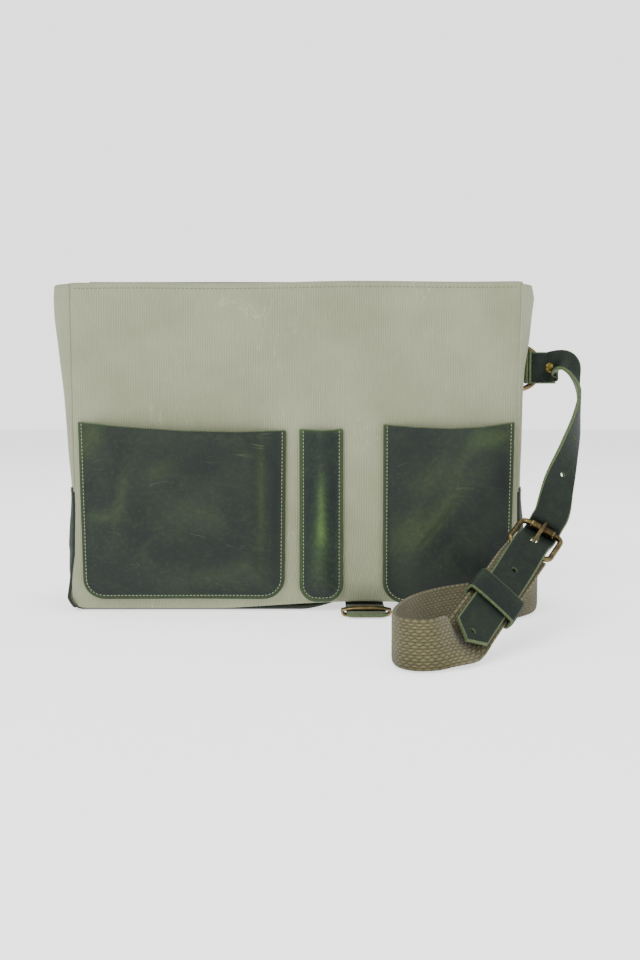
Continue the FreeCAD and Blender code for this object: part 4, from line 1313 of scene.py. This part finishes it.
cutters = []
for s in LOW_HOLES_S:
    place, way, _ = strap_point(s)
    cutters.append(plug(place, way, HOLE_R, 4.0))
place, way, ahead = strap_point(SLOT_S)
cutters.append(plug(place, way, SLOT_R, 5.0, (ahead, SLOT_HALF)))
for place_z in HIGH_HOLES_Z:
    away = np.abs(c[:, 2] - place_z) + np.where(c[:, 0] < 150, 1e3, 0)
    k = int(np.argmin(away + np.where(np.arange(len(c)) < 60, 1e3, 0)))
    cutters.append(plug(c[k], strap_axes[2][k], HOLE_R, 4.0))
cut(strap, cutters)
for poly in strap.data.polygons:
    poly.use_smooth = True
settle(strap, "strap_front", "pull_up_leather", "strap_leather")


def dome(place, way, r, high):
    """A rivet cap: a low dome with a rolled rim."""
    way = unit(way)
    x = unit(np.cross(way, (0.2, 0.3, 0.93)))
    y = np.cross(way, x)
    prof = [(r * 0.96, 0.0), (r, high * 0.22), (r * 0.95, high * 0.5), (r * 0.8, high * 0.78),
            (r * 0.55, high * 0.93), (r * 0.25, high)]
    n = 32
    angles = [2 * math.pi * k / n for k in range(n)]
    verts = [place + x * (a * math.cos(t)) + y * (a * math.sin(t)) + way * b for a, b in prof for t in angles]
    verts.append(place + way * high)
    faces = [(i * n + k, i * n + (k + 1) % n, (i + 1) * n + (k + 1) % n, (i + 1) * n + k)
             for i in range(len(prof) - 1) for k in range(n)]
    last = (len(prof) - 1) * n
    faces += [(last + k, last + (k + 1) % n, len(verts) - 1) for k in range(n)]
    faces.append(tuple(reversed(range(n))))
    return make("dome", verts, faces, [BRASS])


CAP_R = 3.3


def rivet(name, node, body, way):
    low, high = node_mm(node)
    mid, way = (low + high) / 2, unit(way)
    half = float(np.dot(np.abs(way), (high - low))) / 2
    shank, _ = spline([mid - way * (half - 0.8), mid, mid + way * (half - 0.8)], 1.0)
    caps = [dome(mid + out * (half - 1.5), out, CAP_R, 1.7) for out in (way, -way)]
    piece = join(name, caps + [tube("shank", shank, 1.3, BRASS)])
    settle(piece, body, "antique_brass", node)


rivet("rivet_right", "strap_rivet", "strap_front", (0, 1, 0))
rivet("rivet_left", "strap_rivet_left", "strap_rear", (1, 0, 0))


# ---- buckle ---------------------------------------------------------------------------------
def round_corners(x0, x1, y0, y1, r, steps):
    """Points round a rectangle's four corners."""
    pts = []
    corners = ((x1 - r, y1 - r), (x0 + r, y1 - r), (x0 + r, y0 + r), (x1 - r, y0 + r))
    for (cx, cy), a0 in zip(corners, (0, 90, 180, 270)):
        for a in np.linspace(a0, a0 + 90, steps):
            t = math.radians(a)
            pts.append((cx + r * math.cos(t), cy + r * math.sin(t)))
    return pts


def rounded_loop(x0, x1, half, r, out):
    """A rectangle with round corners, drawn in the strap's own axes."""
    pts = [(x, y, out) for x, y in round_corners(x0, x1, -half, half, r, 9)]
    rows = []
    for i, p in enumerate(pts):
        q = pts[(i + 1) % len(pts)]
        gap = math.dist(p, q)
        for t in np.linspace(0, 1, max(1, int(gap / 0.9)), endpoint=False):
            rows.append(tuple(a + (b - a) * t for a, b in zip(p, q)))
    return local(rows)


BAR_R, HALF_FRAME = 1.6, STRAP_W / 2 + 2.6
buckle = tube("buckle_frame_cast", rounded_loop(0.0, HEEL_S, HALF_FRAME, 4.4, FRAME_OUT), BAR_R + 0.05,
              METAL, closed=True, sides=18)
settle(buckle, "strap_front", "antique_brass", "buckle_frame")


def barrel(name, half, r):
    """A rolled sheet-metal sleeve with eased ends."""
    ys = [-half, -half + 0.25, -half + 0.7, *np.linspace(-half + 1.5, half - 1.5, 9)]
    ys += [half - 0.7, half - 0.25, half]
    rad = [r - 0.45, r - 0.12, r] + [r] * 9 + [r, r - 0.12, r - 0.45]
    return tube(name, local([(0, y, FRAME_OUT) for y in ys]), rad, METAL, sides=28)


roller = barrel("buckle_roller_sleeve", STRAP_W / 2 - 2.6, 2.6)
settle(roller, "roller", "antique_brass", "buckle_roller")

def round_heel(r, angles):
    """Places round the heel bar, in the strap's own axes."""
    return [(HEEL_S + r * math.cos(t), 0, FRAME_OUT + r * math.sin(t)) for t in angles]


eye = round_heel(2.35, np.linspace(-2.6, 2.0, 22))
rod, _ = spline([eye[-1], (HEEL_S - 4.5, 0, FRAME_OUT + 2.9), (HEEL_S - 12, 0, FRAME_OUT + 3.6),
                 (3.0, 0, FRAME_OUT + 4.2), (-2.4, 0, FRAME_OUT + 4.1)], 0.6)
line = np.vstack([eye[:-1], rod])
last = len(line) - 1
radius = np.interp(np.arange(len(line)), [0, 20, last - 5, last - 1, last], [0.8, 1.2, 1.2, 1.05, 0.6])
prong = tube("buckle_prong_wire", local(line), radius, METAL, sides=14)
settle(prong, "prong", "antique_brass", "buckle_prong")

# leather fold that ties the webbing to the heel bar
CHAPE_W, CHAPE_T = 14.8, 1.3
fold_r = BAR_R + 0.35 + 0.7
fold = [(HEEL_S + run, 0, FRAME_OUT - out) for run, out in ((16, 2.1), (8, 2.2), (3, 2.4))]
fold += round_heel(fold_r, np.linspace(-1.9, -5.0, 9)) + [(HEEL_S + 4.4, 0, FRAME_OUT + 1.0)]
rows, _ = spline(fold, 0.6)
chape, _ = strap_mesh("webbing_chape_leather", local(rows), np.tile(strap_frame(0)[1], (len(rows), 1)),
                      CHAPE_W, CHAPE_T, STRAP_SKINS)
settle(chape, "strap_front", "pull_up_leather", "webbing_chape")

# keeper
KEEPER_W, KEEPER_T = 17.6, 1.7
half, low, high = WEB_W / 2 + 1.6, -1.5, 5.3
loop = [(0, y, z) for y, z in round_corners(-half, half, low, high, 1.8, 7)]
rows, _ = spline(loop[3:] + loop[:4], 0.5)
rows[:, 2] += 0.35 * (1 - (rows[:, 1] / half) ** 2) * (rows[:, 2] > 2)
keeper, _ = strap_mesh("keeper_leather", local(rows, KEEPER_S), np.tile(ALONG, (len(rows), 1)),
                       KEEPER_W, KEEPER_T, STRAP_SKINS)
settle(keeper, "keeper", "pull_up_leather", "keeper")


# ---- webbing --------------------------------------------------------------------------------
def weave(run, x):
    """Height and shade of a heavy plain weave: wavy yarns along the webbing, knotted every 2 mm."""
    yarn = (x + WEB_W / 2) / WEB_W * 16
    beat = 2 * math.pi * run / 3.8
    wavy = yarn + 0.11 * np.sin(beat)
    rib = np.abs(np.sin(math.pi * wavy)) ** 0.75
    lane = np.floor(wavy)
    knot = 0.5 + 0.5 * np.sin(beat + math.pi * (lane % 2))
    height = 0.66 * rib * (0.30 + 0.70 * knot)
    selvedge = 0.6 if abs(x) > WEB_W / 2 - 0.9 else 1.0
    # the second value is painted shade: full on the yarn crowns and knots, dark in the grooves between yarns
    return (height - 0.30) * selvedge, 0.08 + 0.92 * rib * (0.40 + 0.60 * knot)


web_c, web_w = [], []
lay_on_strap(((25.5, -2.6), (30.0, -1.4), (38.0, -0.4), (46.0, 0.2), (54.0, 0.5), (62.0, 0.6),
              (80.0, 0.6), (100.0, 0.2), (113.0, -1.2)), web_c, web_w)
COIL_TURN = [((78.6, -158.8, 12.9), (0.36, -0.10, -0.93)), ((71.0, -166.0, 12.9), (0.10, -0.03, -0.99))]
ON_EDGE = [                         # standing on its edge, round the coil and behind the bag
    (62.5, -168.0, 12.9), (55.0, -163.0, 12.9), (52.0, -149.0, 12.9), (56.5, -127.0, 12.9),
    (66.0, -104.0, 12.9), (81.0, -84.0, 12.9), (98.0, -70.0, 12.9), (122.0, -56.0, 12.9),
    (143.0, -34.0, 12.9), (152.0, -6.0, 12.9), (154.5, 16.0, 13.0), (150.0, 28.0, 13.4),
    (139.0, 31.6, 14.4), (124.0, 30.4, 15.6), (100.0, 29.2, 16.4), (40.0, 29.2, 16.4),
    (-40.0, 29.2, 16.4), (-105.0, 29.2, 16.4),
]
RISE = [                            # and turns up to the left ring
    ((-126.0, 31.0, 18.0), (-0.08, 0, -1)), ((-136.0, 34.5, 26.0), (-0.56, -0.34, -0.75)),
    ((-140.5, 38.0, 42.0), (-0.42, -0.86, -0.26)), ((-141.5, 39.4, 60.0), (-0.14, -0.98, -0.04)),
    ((-141.5, 40.0, 84.0), (-0.08, -1, 0)), ((-141.5, 40.4, 112.0), (-0.06, -1, 0)),
]
for place, width in COIL_TURN + [(p, (0, 0, -1)) for p in ON_EDGE] + RISE:
    web_c.append(place)
    web_w.append(width)
c, w = smooth_path(web_c, web_w, 0.5)
webbing, _ = strap_mesh("webbing_cotton", c, w, WEB_W, WEB_T - 0.3, (WEBBING,) * 3,
                        relief=weave, cell=0.5)
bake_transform(webbing)
dress(webbing, "cotton_webbing", "webbing_front", "webbing_back")

# leather end at the left ring, folded round it and sewn over the webbing
apex_y = LEFT_BAR[1] + RING_R
left_c = [(LEFT_BAR[0] + 1.6, apex_y + 15, BAR[2]), (LEFT_BAR[0] + 1.9, apex_y + 8, BAR[2]),
          (LEFT_BAR[0] + LOOP_R, apex_y, BAR[2])]
left_c += turn_round(LEFT_BAR[0], apex_y - SLACK, (-20, -60, -90, -120, -160))
left_c += [(LEFT_BAR[0] - LOOP_R, apex_y, BAR[2]), (LEFT_BAR[0] - 1.6, apex_y + 9, BAR[2])]
LEFT_DROP = [
    ((-144.6, 43.2, 148.6), (0.05, 0.30, -0.95)), ((-144.4, 46.8, 141.0), (0.10, 0.76, -0.64)),
    ((-143.8, 46.6, 131.0), (0.10, 0.97, -0.22)), ((-143.4, 43.4, 120.0), (0.08, 0.99, 0.10)),
    ((-143.4, 41.0, 108.0), (0.06, 1.0, 0.06)), ((-143.4, 40.6, 98.0), (0.06, 1.0, 0.0)),
]
left_w = [(0, 0, -1)] * len(left_c) + [q for _, q in LEFT_DROP]
c, w = smooth_path(left_c + [p for p, _ in LEFT_DROP], left_w, 0.8)
end, _ = strap_mesh("strap_end_leather", c, w, STRAP_W, STRAP_T, STRAP_SKINS)
settle(end, "strap_rear", "pull_up_leather", "strap_end_left")


# ---- floor, light and camera ----------------------------------------------------------------
bpy.ops.mesh.primitive_plane_add(size=8.0, location=(0, 0, -0.0006))
floor = bpy.context.object
floor.name = "floor"
floor.data.materials.append(floor_material())

world = bpy.data.worlds.new("studio")
bpy.context.scene.world = world
world.use_nodes = True
sky = world.node_tree.nodes["Background"]
sky.inputs["Color"].default_value = (1.0, 1.0, 1.0, 1.0)
path = world.node_tree.nodes.new("ShaderNodeLightPath")
level = world.node_tree.nodes.new("ShaderNodeMapRange")
level.inputs["To Min"].default_value = 0.85      # what lights the bag
level.inputs["To Max"].default_value = 2.2       # what the camera sees behind it
world.node_tree.links.new(path.outputs["Is Camera Ray"], level.inputs["Value"])
world.node_tree.links.new(level.outputs["Result"], sky.inputs["Strength"])


def area(name, place, aim, size, power):
    light = bpy.data.lights.new(name, "AREA")
    light.shape = "RECTANGLE"
    light.size, light.size_y = size
    light.energy = power
    obj = bpy.data.objects.new(name, light)
    bpy.context.scene.collection.objects.link(obj)
    obj.location = place
    obj.rotation_euler = (Vector(aim) - Vector(place)).to_track_quat("-Z", "Y").to_euler()


area("key", (-0.7, -1.1, 1.2), (0, 0, 0.08), (0.9, 0.9), 19)
area("fill", (1.1, -0.9, 0.7), (0, 0, 0.08), (1.0, 0.8), 7)
area("top", (0.0, 0.2, 1.5), (0, 0, 0.05), (1.2, 1.0), 9)

camera_data = bpy.data.cameras.new("camera")
camera_data.sensor_width = 36.0
camera_data.lens = 38.6
camera_data.clip_start = 0.01
camera = bpy.data.objects.new("camera", camera_data)
bpy.context.scene.collection.objects.link(camera)
camera.location = (0.0156, -0.650, 0.129)
camera.rotation_euler = (math.radians(90 - 4.4), 0, 0)
bpy.context.scene.camera = camera
